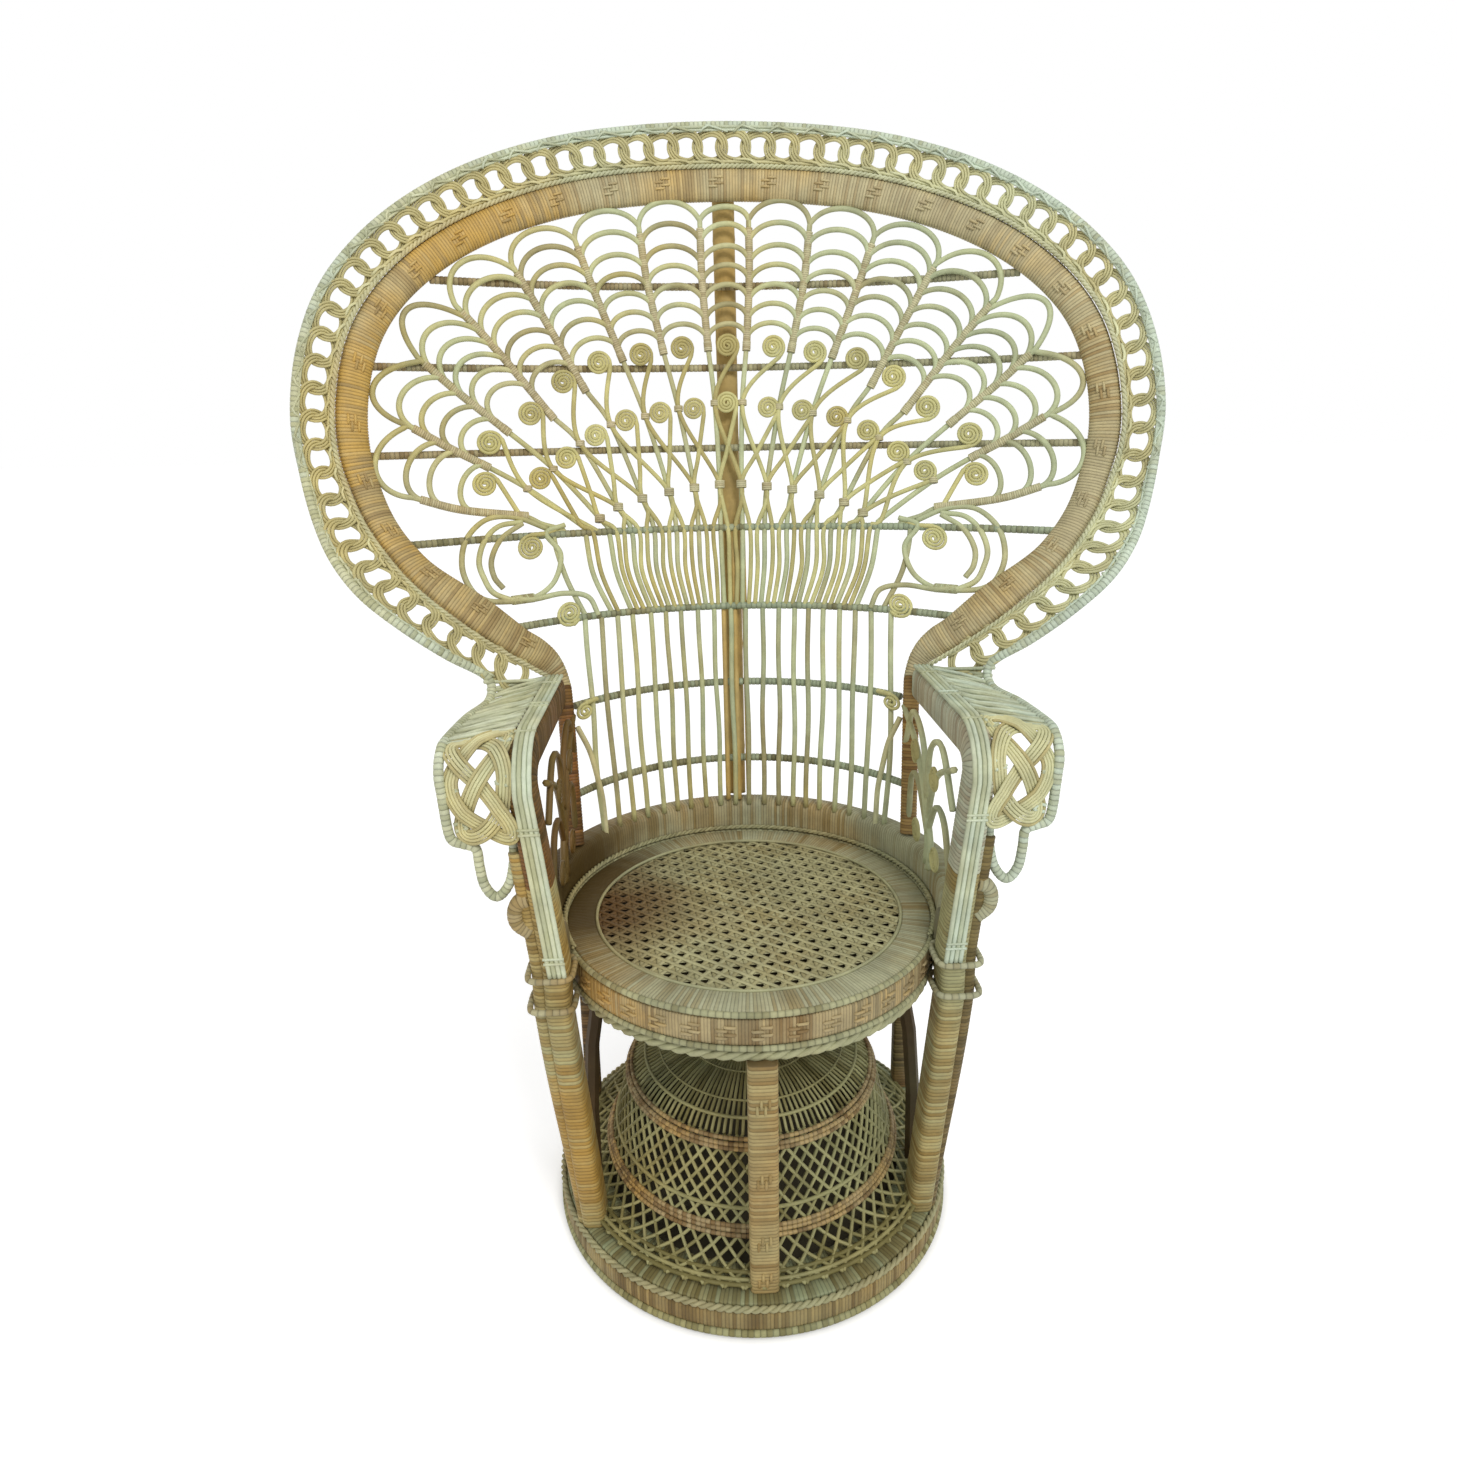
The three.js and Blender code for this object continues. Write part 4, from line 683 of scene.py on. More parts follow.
def band_stations():
    """Sections of the band from the top of the hoop round the right neck and down the leg."""
    inner, outer = on_back(BAND_LINE), on_back(BEAD_LINE)
    edge = lerp(inner, outer, BAND_SHARE)
    half = len(inner) // 2
    line = ((inner + edge) / 2)[half:-NECK_CUT]
    bend = on_back(NECK_BEND)
    leg = smooth(np.vstack([line[-12], line[-1], bend, lerp(LEG_FOOT, bend[-1], 0.5), LEG_FOOT]), 90)
    leg = leg[np.argmin(np.linalg.norm(leg - line[-1], axis=1)) + 1:]
    centre = np.vstack([line, leg])
    way = tangents(centre)
    across = (edge - inner)[half:-NECK_CUT]
    along = way[:len(line)]
    across = across - np.einsum("ij,ij->i", across, along)[:, None] * along
    width = np.linalg.norm(across, axis=1)
    turned = unit(np.cross(way[len(line):], np.array([0, 1, 0])))
    turned = turned * np.sign(turned[0] @ across[-1])
    shrink = smoothstep(lengths(leg), 0, NECK_LENGTH)
    across = np.vstack([unit(across), unit(lerp(unit(across[-1:]), turned, shrink[:, None]))])
    width = np.concatenate([width, lerp(width[-1], LEG_WIDTH, shrink)])
    normal = unit(np.cross(across, way))
    return centre, across * width[:, None] / 2, normal, len(line) + int(np.argmax(shrink >= 1))


def mirrored(rows):
    return np.vstack([rows[:0:-1] * [-1, 1, 1], rows])


band_centre, band_half, band_normal, NECK_ROW = band_stations()
LEG_ROWS = len(band_centre) - NECK_ROW
BAND_CENTRE, BAND_HALF, BAND_NORMAL = mirrored(band_centre), mirrored(band_half), mirrored(band_normal)
print("the band has", len(BAND_CENTRE), "sections,", LEG_ROWS, "of them in each leg")

# %% [markdown]
# ### The wrapping of the band
# The rows of sections are wound in three lengths, because the left leg is brown and the right one
# tan. The band stands for `hoop_band`, whose solid includes the legs, so the legs name no node.
# The patches sit on its front at even steps.

# %% Wrapped band, legs and patches
BAND_TURN = 0.0042
BAND_GROOVE, LEG_GROOVE = 0.0009, 0.0007
BAND_PATCH_PITCH = 0.076


def wound(name, sections, turn, groove, material, replaces=()):
    """A bar through these sections, wound with cane."""
    strands = Strands()
    station, length = station_between(sections)
    strands.wrapped(station, length, turn, groove)
    strands.finish(name, material, replaces, "wrapped")


sections = section_rows(BAND_CENTRE, BAND_HALF, BAND_NORMAL * BAND_THICKNESS / 2, 16, 0.86)
hoop = sections[LEG_ROWS - 1:len(sections) - LEG_ROWS + 1]
wound("hoop_band_wrapping", hoop, BAND_TURN, BAND_GROOVE, BAND, ["hoop_band"])
wound("leg_wrapping_left", sections[:LEG_ROWS], BAND_TURN, LEG_GROOVE, LEG_BROWN)
wound("leg_wrapping_right", sections[-LEG_ROWS:], BAND_TURN, LEG_GROOVE, LEG_TAN)

patches = Strands()
s = lengths(BAND_CENTRE)
way = tangents(BAND_CENTRE)
front = BAND_NORMAL * np.sign(-BAND_NORMAL[:, 1:2])
start, end = s[LEG_ROWS] + BAND_PATCH_PITCH, s[-LEG_ROWS] - BAND_PATCH_PITCH / 2
for i in np.searchsorted(s, np.arange(start, end, BAND_PATCH_PITCH)):
    top = BAND_CENTRE[i] + front[i] * (BAND_THICKNESS / 2 - 0.0006)
    woven_patch(patches, top, way[i], unit(BAND_HALF[i]), front[i], 0.0125, 0.0043)
patches.finish("hoop_band_patches", BAND, (), "wrapped")

# %% [markdown]
# ### The bead
# Beside the band lies a bead of two pale reeds, twisted round each other. A bump on a tube would
# not show at its outline, which lies against the white ground. So two tubes wind round a path
# along the band's outer edge, a little in front of it.

# %% Twisted bead beside the band
BEAD_RADIUS = 0.0036
BEAD_TWIST = 0.014
BEAD_FORWARD = 0.0085
BEAD_SHARE = 0.95

strands = Strands()
line = lerp(on_back(BAND_LINE), on_back(BEAD_LINE), BEAD_SHARE)
strands.twisted(line - [0, BEAD_FORWARD, 0], BEAD_RADIUS, 2, BEAD_TWIST, face=(0, 1, 0))
strands.finish("hoop_bead_twist", BEAD, ["hoop_bead"], "pale")

# %% [markdown]
# ## The chain
# Between bead and rim runs a chain of seventy loops, each of three reeds side by side. A loop
# reaches over one neighbour and under the other. Copies could be placed one by one, but they all
# follow one rule, so this is work for Geometry Nodes: one link is modelled flat, and a tree sets
# it along a path.

# %% Helpers for Geometry Nodes
def node_tree(name, sockets):
    tree = bpy.data.node_groups.new(name, "GeometryNodeTree")
    tree.interface.new_socket("Geometry", in_out="INPUT", socket_type="NodeSocketGeometry")
    for label, kind in sockets:
        tree.interface.new_socket(label, in_out="INPUT", socket_type=kind)
    tree.interface.new_socket("Geometry", in_out="OUTPUT", socket_type="NodeSocketGeometry")
    return tree, tree.nodes.new("NodeGroupInput").outputs, tree.nodes.new("NodeGroupOutput").inputs


def named(tree, name, kind):
    return add_node(tree, "GeometryNodeInputNamedAttribute", {"Name": name}, data_type=kind).outputs[0]


def close_tree(tree, geometry, given, result):
    realized = add_node(tree, "GeometryNodeRealizeInstances", {"Geometry": geometry}).outputs[0]
    painted = add_node(tree, "GeometryNodeSetMaterial", {"Geometry": realized, "Material": given["Material"]})
    link(tree, painted.outputs[0], result["Geometry"])


def socket_id(tree, name):
    return next(item.identifier for item in tree.interface.items_tree
                if item.name == name and item.in_out == "INPUT")


# %% [markdown]
# ### The tree
# The tree asks for the link, its size, a seed and a material. Each point of the path carries the
# way of the hoop, the way across it, and how far to stretch. Two axes make the turn, and a random
# number makes each link's tint. At the end the copies are made real, because an export doesn't
# read instances.

# %% Tree that sets links along a path
def links_tree():
    tree, given, result = node_tree("links_along_path", [
        ("Link", "NodeSocketObject"), ("Size", "NodeSocketFloat"), ("Seed", "NodeSocketInt"),
        ("Material", "NodeSocketMaterial")])
    shape = add_node(tree, "GeometryNodeObjectInfo", {"Object": given["Link"]}).outputs["Geometry"]
    axes = {"Primary Axis": named(tree, "way", "FLOAT_VECTOR"),
            "Secondary Axis": named(tree, "across", "FLOAT_VECTOR")}
    turn = add_node(tree, "FunctionNodeAxesToRotation", axes, primary_axis="X", secondary_axis="Y")
    stretch = named(tree, "stretch", "FLOAT_VECTOR")
    size = add_node(tree, "ShaderNodeVectorMath", {0: stretch, "Scale": given["Size"]}, operation="SCALE")
    placed = add_node(tree, "GeometryNodeInstanceOnPoints", {
        "Points": given["Geometry"], "Instance": shape,
        "Rotation": turn.outputs[0], "Scale": size.outputs[0]})
    tint = add_node(tree, "FunctionNodeRandomValue", {"Seed": given["Seed"]}, data_type="FLOAT")
    stored = add_node(tree, "GeometryNodeStoreNamedAttribute", {
        "Geometry": placed.outputs[0], "Name": "tint", "Value": tint.outputs[1]},
        data_type="FLOAT", domain="INSTANCE")
    close_tree(tree, stored.outputs[0], given, result)
    return tree


LINKS_TREE = links_tree()
print("the tree has", len(LINKS_TREE.nodes), "nodes")

# %% [markdown]
# ### From a tree to a plain mesh
# The modifier works on a small mesh of points, and its inputs are set by the identifiers of their
# sockets. Applying it by an operator would depend on what is selected, so the result is read from
# the evaluated object as a plain mesh, and the modifier goes.

# %% Path, modifier and mesh
def path_mesh(points, **vectors):
    mesh = bpy.data.meshes.new("path")
    shift = np.array([0, SEAT_AXIS_Y, 0])
    mesh.from_pydata((points + shift).tolist(), [], [])
    for key, rows in vectors.items():
        mesh.attributes.new(key, "FLOAT_VECTOR", "POINT").data.foreach_set("vector", np.asarray(rows).ravel())
    return mesh


def grow(name, mesh, tree, values, replaces=()):
    """Runs a Geometry Nodes tree on a mesh and keeps the result as a plain mesh."""
    seed_object = bpy.data.objects.new(name + "_path", mesh)
    show(seed_object)
    modifier = seed_object.modifiers.new("grow", "NODES")
    modifier.node_group = tree
    for key, value in values.items():
        modifier[socket_id(tree, key)] = value
    graph = bpy.context.evaluated_depsgraph_get()
    grown = bpy.data.meshes.new_from_object(seed_object.evaluated_get(graph), depsgraph=graph)
    grown.name = name
    seed_object.modifiers.clear()
    bpy.data.objects.remove(seed_object)
    grown.polygons.foreach_set("use_smooth", np.ones(len(grown.polygons), dtype=bool))
    for key in ("tint", "along", "groove"):
        if key not in grown.attributes:
            grown.attributes.new(key, "FLOAT", "POINT")
    return hand_over(bpy.data.objects.new(name, grown), replaces)


# %% [markdown]
# ### One link
# A link is an oval of three reeds, one inside the other. Its height goes up and down twice on the
# way round, so that it passes over one neighbour and under the next. It has few faces, because it
# is set seventy times.

# %% The flat link
LINKS = 70
LINK_LENGTH, LINK_WIDTH = 0.0492, 0.04
LINK_REED = 0.00185
LINK_LIFT = 0.0024


def flat_link():
    """A loop of three reeds; it rises on one side and dips on the other."""
    strands = Strands()
    t = np.linspace(0, 2 * np.pi, 29)[:-1]
    weave = np.sin(t) * np.cos(t)
    lift = LINK_LIFT * np.sign(weave) * np.abs(weave * 2) ** 0.6
    for k in range(3):
        inset = k * 1.9 * LINK_REED
        long, wide = LINK_LENGTH / 2 - inset, LINK_WIDTH / 2 - inset
        ring = np.stack([np.cos(t) * long, np.sin(t) * wide, lift], axis=1)
        strands.tube(ring, LINK_REED, 5, face=UP, closed=True, tint=0.0)
    return strands


def link_template():
    """The link as a shape for instances, built about its own origin."""
    strands = flat_link()
    strands.points = [points - np.array([0, SEAT_AXIS_Y, 0]) for points in strands.points]
    return strands.finish("link_template", LOOP)


# %% [markdown]
# ### The path of the chain
# The links stand at even steps between bead and rim, and each is as wide as the gap allows. The
# pairs of places on bead and rim serve for the ties and for the rim later on. The chain stands for
# the node `hoop_chain`.

# %% The chain of loops
CHAIN_INNER, CHAIN_OUTER = 0.02, 0.8


def rim_and_bead(count):
    """Matching places on the bead and on the rim, from neck to neck."""
    share = np.linspace(0.012, 0.988, count)
    index = np.linspace(0, 1, len(RIM_LINE))
    return on_back(read_off(share, index, BEAD_LINE)), on_back(read_off(share, index, RIM_LINE))


bead, rim = rim_and_bead(1600)
middle = lerp(bead, rim, (CHAIN_INNER + CHAIN_OUTER) / 2)
s = lengths(middle)
at = np.interp(np.linspace(0, s[-1], LINKS), s, np.arange(len(s))).astype(int)
across = (rim - bead)[at]
width = np.linalg.norm(across, axis=1) * (CHAIN_OUTER - CHAIN_INNER)
stretch = np.stack([np.ones(LINKS), width / LINK_WIDTH, np.ones(LINKS)], axis=1)
mesh = path_mesh(middle[at], way=tangents(middle)[at], across=across, stretch=stretch)
shape = link_template()
values = {"Link": shape, "Size": 1.0, "Seed": 11, "Material": LOOP}
grow("hoop_chain_links", mesh, LINKS_TREE, values, ["hoop_chain"])
bpy.data.objects.remove(shape)

# %% [markdown]
# ### The ties
# Thin reeds run along both sides of the chain, and short ties hold each link. Real ties are wound
# by hand, never alike. Three short curved reeds for each link give the same busy edge with few
# faces. Each place is a step along the hoop, a share of the gap, and a step forward.

# %% Reeds along the chain, and ties
TIE_STEPS = 6
TIE_FORWARD = np.array([0, -0.003, 0])
ALONG_BEAD = ((0.07, 0.0026), (-0.02, 0.0022))
ALONG_RIM = ((0.84, 0.0026), (0.77, 0.002))
# Each tie goes over three places: steps along the hoop, share of the gap, and how far forward
TIE_TO_BEAD = ((0, 0.13, 1), (3, 0.1, 2.4), (5, -0.06, 1))
TIES_TO_RIM = ((((0, 0.72, 1.2), (1, 0.82, 2.2), (2, 0.88, 1.8)), 0.0019),
               (((5, 0.73, 1.2), (3, 0.8, 2.2), (1, 0.88, 1.8)), 0.0017))

bead, rim = rim_and_bead(LINKS * TIE_STEPS + 1)
inner, outer = Strands(), Strands()
for group, reeds in ((outer, ALONG_RIM), (inner, ALONG_BEAD)):
    for share, radius in reeds:
        group.tube(lerp(bead, rim, share) + TIE_FORWARD, radius, 5)


def tie(group, i, places, radius):
    rows = [lerp(bead[i + step], rim[i + step], share) + lift * TIE_FORWARD
            for step, share, lift in places]
    group.tube(smooth(rows, 6), radius, 4)


for i in range(2, LINKS * TIE_STEPS - 6, TIE_STEPS):
    tie(inner, i, TIE_TO_BEAD, 0.0021)
    for places, radius in TIES_TO_RIM:
        tie(outer, i, places, radius)
inner.finish("hoop_ties_inner", LOOP, (), "pale")
outer.finish("hoop_ties_outer", PALE, (), "pale")

# %% [markdown]
# ## The rails
# Seven rails cross behind the reeds and carry them, each a pole wound with narrow cane. The third
# and the fourth hold the ends of the spindles and are lashed with wider strips. A bent tube would
# do for one; a level line, laid on the sheet and wrapped, does for all. The third stands for no
# node, because the comb's solid includes it.

# %% Rails
RAILS = 7
RAIL_PITCH = (BAND_TOP - CURB_TOP) / (RAILS + 0.58)
RAIL_RADIUS = 0.0054
COMB_RAIL = 3
LASHED_TURN, RAIL_TURN = 0.0075, 0.0062
LASHED_FORWARD, RAIL_FORWARD = 0.001, -0.0075
RAIL_GROOVE = 0.0007


def rail_height(number):
    return CURB_TOP + (number - 0.44) * RAIL_PITCH


def inner_reach(z):
    """Half the width of the hoop's opening at a height."""
    right = BAND_LINE[len(BAND_LINE) // 2:]
    return float(np.interp(-z, -right[:, 1], right[:, 0]))


for number in range(1, RAILS + 1):
    z = rail_height(number)
    reach = inner_reach(z) + 0.004 if z > LEG_TOP[1] else LEG_FOOT[0]
    across = np.linspace(-reach, reach, 60)
    lashed = number in (COMB_RAIL, COMB_RAIL + 1)
    line = on_back(np.stack([across, np.full(60, z)], axis=1), LASHED_FORWARD if lashed else RAIL_FORWARD)
    strands = Strands()
    strands.wrapped_tube(line, RAIL_RADIUS, LASHED_TURN if lashed else RAIL_TURN, RAIL_GROOVE)
    replaced = [] if number == COMB_RAIL else [f"back_rail_{number}"]
    finish = RAIL if number > COMB_RAIL + 1 else RAIL_PALE
    strands.finish(f"rail_{number}_wrapping", finish, replaced, "shaded")

# %% [markdown]
# ## The centre pole
# One bare cane stands in the middle, thicker than the rest. Cane grows in lengths with a ring
# between them. A lathe would give the rings, but not the lean and the flat section, so this is a
# tube whose radius swells at six places. Three thin reeds run down beside it.

# %% Centre pole with its rings
POLE_RINGS = (0.08, 0.25, 0.41, 0.58, 0.74, 0.9)
RING_HEIGHT, RING_SWELL = 0.006, 0.05
POLE_FLAT = 0.74
POLE_REEDS = [(-0.0145, 0.004), (0.0015, 0.0048), (0.0165, 0.004)]

low, high = node_box("centre_pole")
radius = (high[0] - low[0]) / 2
z = np.array([low[2] + 0.003, high[2] - 0.004])
y = np.array([low[1], high[1]]) - SEAT_AXIS_Y + np.array([radius, -radius])
line = np.stack([np.zeros(140), np.linspace(*y, 140), np.linspace(*z, 140)], axis=1)
s = lengths(line)
swell = np.linspace(radius * 0.98, radius * 1.27, 140)
for share in POLE_RINGS:
    swell += radius * RING_SWELL * np.exp(-((s / s[-1] - share) / RING_HEIGHT) ** 2)
strands = Strands()
strands.tube(line, swell, 18, tint=0.5, flat=POLE_FLAT)
height = np.linspace(CURB_TOP + 0.002, rail_height(COMB_RAIL + 1), 50)
for x, reed in POLE_REEDS:
    strands.tube(on_back(np.stack([np.full(50, x), height], axis=1), -0.004), reed, 6)
strands.finish("centre_pole_cane", POLE, ["centre_pole"], "pole")

# %% [markdown]
# ## The spindles
# Twenty thin reeds stand side by side between the third rail and the curb, like a comb. An array
# modifier would set them at even steps, like a machine's work. Their places were read from the
# photograph, and each drifts sideways by a millimetre or so. At each end a bent reed comes in from
# the side.

# %% Spindles from the third rail down to the curb
REED = 0.004
SPINDLES = [-0.213, -0.191, -0.169, -0.148, -0.122, -0.100, -0.078, -0.053, -0.029, -0.004,
            0.018, 0.043, 0.067, 0.090, 0.110, 0.131, 0.154, 0.175, 0.196, 0.222]
SPINDLE_LEAN, SPINDLE_DRIFT = 0.095, 0.0016
SIDE_REED = [(0.2225, 0.592), (0.208, 0.556), (0.199, 0.516), (0.1935, 0.482), (0.1904, 0.427)]


def wander(count, amount):
    """A slow sideways drift, so that no two reeds are exactly parallel."""
    t = np.linspace(0, 1, count)
    return amount * np.sin(np.pi * t) * np.sin(2 * np.pi * (t * random.uniform(0.5, 1.4) + random.random()))


strands = Strands()
count = 26
z = np.linspace(rail_height(COMB_RAIL) + 0.003, CURB_TOP - 0.004, count)
lean = 1 - SPINDLE_LEAN * np.linspace(0, 1, count)
for x in SPINDLES:
    across = x * lean + wander(count, SPINDLE_DRIFT)
    strands.tube(on_back(np.stack([across, z], axis=1), 0.0005), REED, 6)
strands.finish("back_spindles", STRAW, ["spindle_comb"], "straw")

bent = Strands()
for side in (-1, 1):
    bent.tube(on_back(smooth(np.array(SIDE_REED) * [side, 1], 30), 0.003), REED, 6)
bent.finish("side_reeds", LOOP, (), "straw")

# %% [markdown]
# ## The fan
# Fifteen "feathers" of nested arches stand side by side, like a peacock's tail. Between two of
# them a stem runs from its tip near the band down to a tie, crosses its neighbour at a lower tie,
# and spreads over two rails as strands. One drawn feather could be copied and turned, but by hand
# no two came out alike, so each stem has its own points, read from the photograph.

# %% Stems of the fan
FEATHER_REACH = 7
# A stem's tip, middle, foot, tie and lower tie, across and up in metres, from the middle outwards
STEMS = [((0.035, 1.272), (0.034, 1.192), (0.028, 1.099), (0.020, 1.020), (0.016, 0.905)),
         ((0.122, 1.264), (0.112, 1.185), (0.093, 1.095), (0.073, 1.013), (0.053, 0.901)),
         ((0.211, 1.243), (0.186, 1.172), (0.152, 1.085), (0.121, 1.003), (0.090, 0.896)),
         ((0.295, 1.206), (0.257, 1.138), (0.206, 1.043), (0.170, 0.992), (0.129, 0.888)),
         ((0.368, 1.151), (0.319, 1.093), (0.252, 1.006), (0.214, 0.967), (0.164, 0.877)),
         ((0.414, 1.081), (0.368, 1.036), (0.312, 0.987), (0.252, 0.933), (0.190, 0.862)),
         ((0.430, 0.995), (0.385, 0.966), (0.340, 0.940), (0.287, 0.907), (0.215, 0.853)),
         ((0.427, 0.902), (0.370, 0.883), (0.293, 0.871), (0.268, 0.858), (0.238, 0.848))]
UPPER_TIE, LOWER_TIE = 3, 4
STRAND_TOP, STRAND_BOTTOM = 0.0162, 0.0135


def stem_path(number):
    """The stem between two feathers, from its tip to its foot; number is a half."""
    rows = np.array(STEMS[int(abs(number))][:3])
    return smooth(rows * [math.copysign(1, number), 1], 30)


def stem_place(number, share):
    line = stem_path(number)
    return resample(line, np.atleast_1d(share) * lengths(line)[-1])


def stem_tie(number, row):
    x, z = STEMS[int(abs(number))][row]
    return np.array([math.copysign(x, number), z])


def strand_foot(place, rail):
    """Where a strand crosses the third or the fourth rail, counted from the middle."""
    pitch = STRAND_TOP if rail > COMB_RAIL else STRAND_BOTTOM
    return np.array([place * pitch, rail_height(rail)])


def strand_down(number, aside):
    """The way of a strand from the lower tie over two rails."""
    place = 2 * number + 0.66 * aside
    top, foot = strand_foot(place, COMB_RAIL + 1), strand_foot(place, COMB_RAIL)
    bow = [math.copysign(0.007, number) * min(abs(number) / 4, 1), 0]
    return [top, lerp(top, foot, 0.5) + bow + [wander(3, 0.0015)[1], 0], foot]


def stem_reed(number):
    """One reed of a stem, from under the arches through both ties to the third rail."""
    aside = 0 if abs(number) < FEATHER_REACH else math.copysign(1, number)
    ties = [stem_tie(number, UPPER_TIE), stem_tie(number, LOWER_TIE)]
    rows = np.vstack([stem_place(number, [0.02, 0.5, 0.97]), ties, strand_down(number, aside)])
    return smooth(rows, 80)


print("the longest stem is", round(float(lengths(stem_path(0.5))[-1]), 3), "m long above its ties")

# %% [markdown]
# ### The arches
# A reed springs from one stem, bulges upwards and comes down on the other. It could be half a
# circle, but a bent reed is fuller near its outer foot. A Bezier curve gives that with one number,
# the rise. A short tail runs down each stem from each foot, where the reeds are bound.

# %% Arches between two stems
# Where the arches of a feather stand on its outer and on its inner stem, as shares of the stem
# from its tip, and how high the first arch and the others rise, as shares of their widths
EVEN_FEET = (0, 0.16, 0.33, 0.48, 0.63, 0.78, 0.93)
OUTER_FEET = [EVEN_FEET, EVEN_FEET, EVEN_FEET, (0, 0.13, 0.27, 0.41, 0.55, 0.7, 0.85),
              (0, 0.14, 0.29, 0.42, 0.56, 0.69, 0.83), (0, 0.12, 0.33, 0.53, 0.72, 0.9),
              (0, 0.08, 0.34, 0.6, 0.82), (0, 0.07, 0.29, 0.54)]
INNER_FEET = [EVEN_FEET, EVEN_FEET, EVEN_FEET, (0, 0.17, 0.31, 0.45, 0.59, 0.74, 0.89),
              (0.04, 0.15, 0.28, 0.42, 0.56, 0.69, 0.81), (0.12, 0.24, 0.36, 0.48, 0.6, 0.72),
              (0.04, 0.25, 0.46, 0.65, 0.83), (0.01, 0.38, 0.6, 0.96)]
FIRST_RISE = (0.28, 0.35, 0.33, 0.35, 0.46, 0.66, 0.55, 0.44)
RISE = (0.34, 0.33, 0.33, 0.38, 0.38, 0.47, 0.41, 0.34)
TAIL = 0.011


def arch_path(outer, inner, rise):
    """An arch from its outer foot to its inner foot; it bulges to one side by the rise."""
    width = np.linalg.norm(inner - outer)
    way = (inner - outer) / width
    away = np.array([-way[1], way[0]]) * (1 if way[0] > 0 else -1)
    if abs(way[0]) < 0.3 or outer[0] * way[0] > 0:
        away = away if np.dot(away, outer) > 0 else -away
    slope = math.radians(68)
    reach = rise * width / (0.75 * math.sin(slope))
    handle = away * math.sin(slope) * reach
    first = outer + handle + way * math.cos(slope) * reach * 0.35
    last = inner + handle - way * math.cos(slope) * reach * 0.9
    t = np.linspace(0, 1, 24)[:, None]
    return (1 - t) ** 3 * outer + 3 * t * (1 - t) ** 2 * first + 3 * t ** 2 * (1 - t) * last + t ** 3 * inner


def arches(feather):
    count, hand = abs(feather), 1 if feather >= 0 else -1
    outer_stem, inner_stem = feather + hand * 0.5, feather - hand * 0.5
    outer, inner = stem_path(outer_stem), stem_path(inner_stem)
    paths = []
    for i, (low, high) in enumerate(zip(OUTER_FEET[count], INNER_FEET[count])):
        places = [resample(line, np.array([0, TAIL]) + share * lengths(line)[-1])
                  for line, share in ((outer, low), (inner, high))]
        rise = (FIRST_RISE if i == 0 else RISE)[count]
        arch = arch_path(places[0][0], places[1][0], rise)
        paths.append(np.vstack([places[0][1:], arch, places[1][1:]]))
    return paths


# %% [markdown]
# ### The feathers
# Each feather stands for one node. It holds its arches and the reed of the stem on its outer side;
# the middle one holds both stems. The arches lie in two layers by turns, so that they don't run
# into each other.

# %% Reeds of the fan
for feather in range(-FEATHER_REACH, FEATHER_REACH + 1):
    strands = Strands()
    for number in (feather - 0.5, feather + 0.5):
        if feather == 0 or abs(number) > abs(feather):
            strands.tube(on_back(stem_reed(number), 0.0005), REED, 6)
    for i, rows in enumerate(arches(feather)):
        strands.tube(on_back(smooth(rows, 44), 0.002 + 0.0009 * (i % 2)), REED, 6)
    name = f"feather_{feather + FEATHER_REACH + 1:02d}"
    strands.finish(f"{name}_reeds", STRAW, [name], "straw")

# %% [markdown]
# ### The bindings
# Narrow strips of cane bind the stems, and the crossings at both ties. They could be coloured
# bands on the reeds, but they are thicker than what they hold. Each is a short wrapped tube, a
# little in front of the reeds.

# %% Bindings round the stems and the ties
BINDING_TURN, STEM_TURN = 0.0026, 0.003
STEM_WRAP = 0.0058
# Length and radius of the bindings at the feet of the stems and at both ties
AT_FOOT, AT_UPPER_TIE, AT_LOWER_TIE = (0.013, 0.0063), (0.008, 0.0068), (0.011, 0.0078)
UPRIGHT = np.array([0, 1])


def bind(strands, here, way, length, radius):
    tie = np.array([here - way * length / 2, here, here + way * length / 2])
    strands.wrapped_tube(on_back(smooth(tie, 8), 0.0015), radius, BINDING_TURN, 0.0005, sides=8)


bound = Strands()
for k in range(-FEATHER_REACH - 1, FEATHER_REACH + 1):
    number = k + 0.5
    line = stem_place(number, np.linspace(0.06, 1.0, 40))
    bound.wrapped_tube(on_back(line, 0.0016), STEM_WRAP, STEM_TURN, 0.0006)
    bind(bound, line[-1], unit(line[-1] - line[-2]), *AT_FOOT)
    if abs(number) < FEATHER_REACH:
        bind(bound, stem_tie(number, UPPER_TIE), UPRIGHT, *AT_UPPER_TIE)
    if abs(number) < FEATHER_REACH - 1:
        bind(bound, stem_tie(number, LOWER_TIE), UPRIGHT, *AT_LOWER_TIE)
bound.finish("stem_bindings", BINDING, (), "straw")

# %% [markdown]
# ## Spirals
# In each feather a thin reed is wound flat into a spiral of three to four turns. A screw modifier
# would wind one, but each has a tail that leaves its right side, runs to the tie on its left and
# goes on down as one more strand. So the spiral and its tail are one path: the radius grows by one
# reed's width with each turn, and the spiral starts at the angle where the tail touches it.

# %% A spiral and its tail
SPIRAL_REED = 0.0024
SPIRAL_PITCH = 0.0044
SPIRAL_EYE = 0.0012


def spiral(centre, radius, hand, start):
    """A flat spiral about a centre, across and up, with its outer end at the angle start."""
    turns = (radius - SPIRAL_REED - SPIRAL_EYE) / SPIRAL_PITCH
    t = np.linspace(0, 1, int(22 * turns))
    r = SPIRAL_EYE + turns * SPIRAL_PITCH * t
    angle = start + hand * 2 * np.pi * turns * (t - 1)
    return centre + np.stack([r * np.cos(angle), r * np.sin(angle)], axis=1)


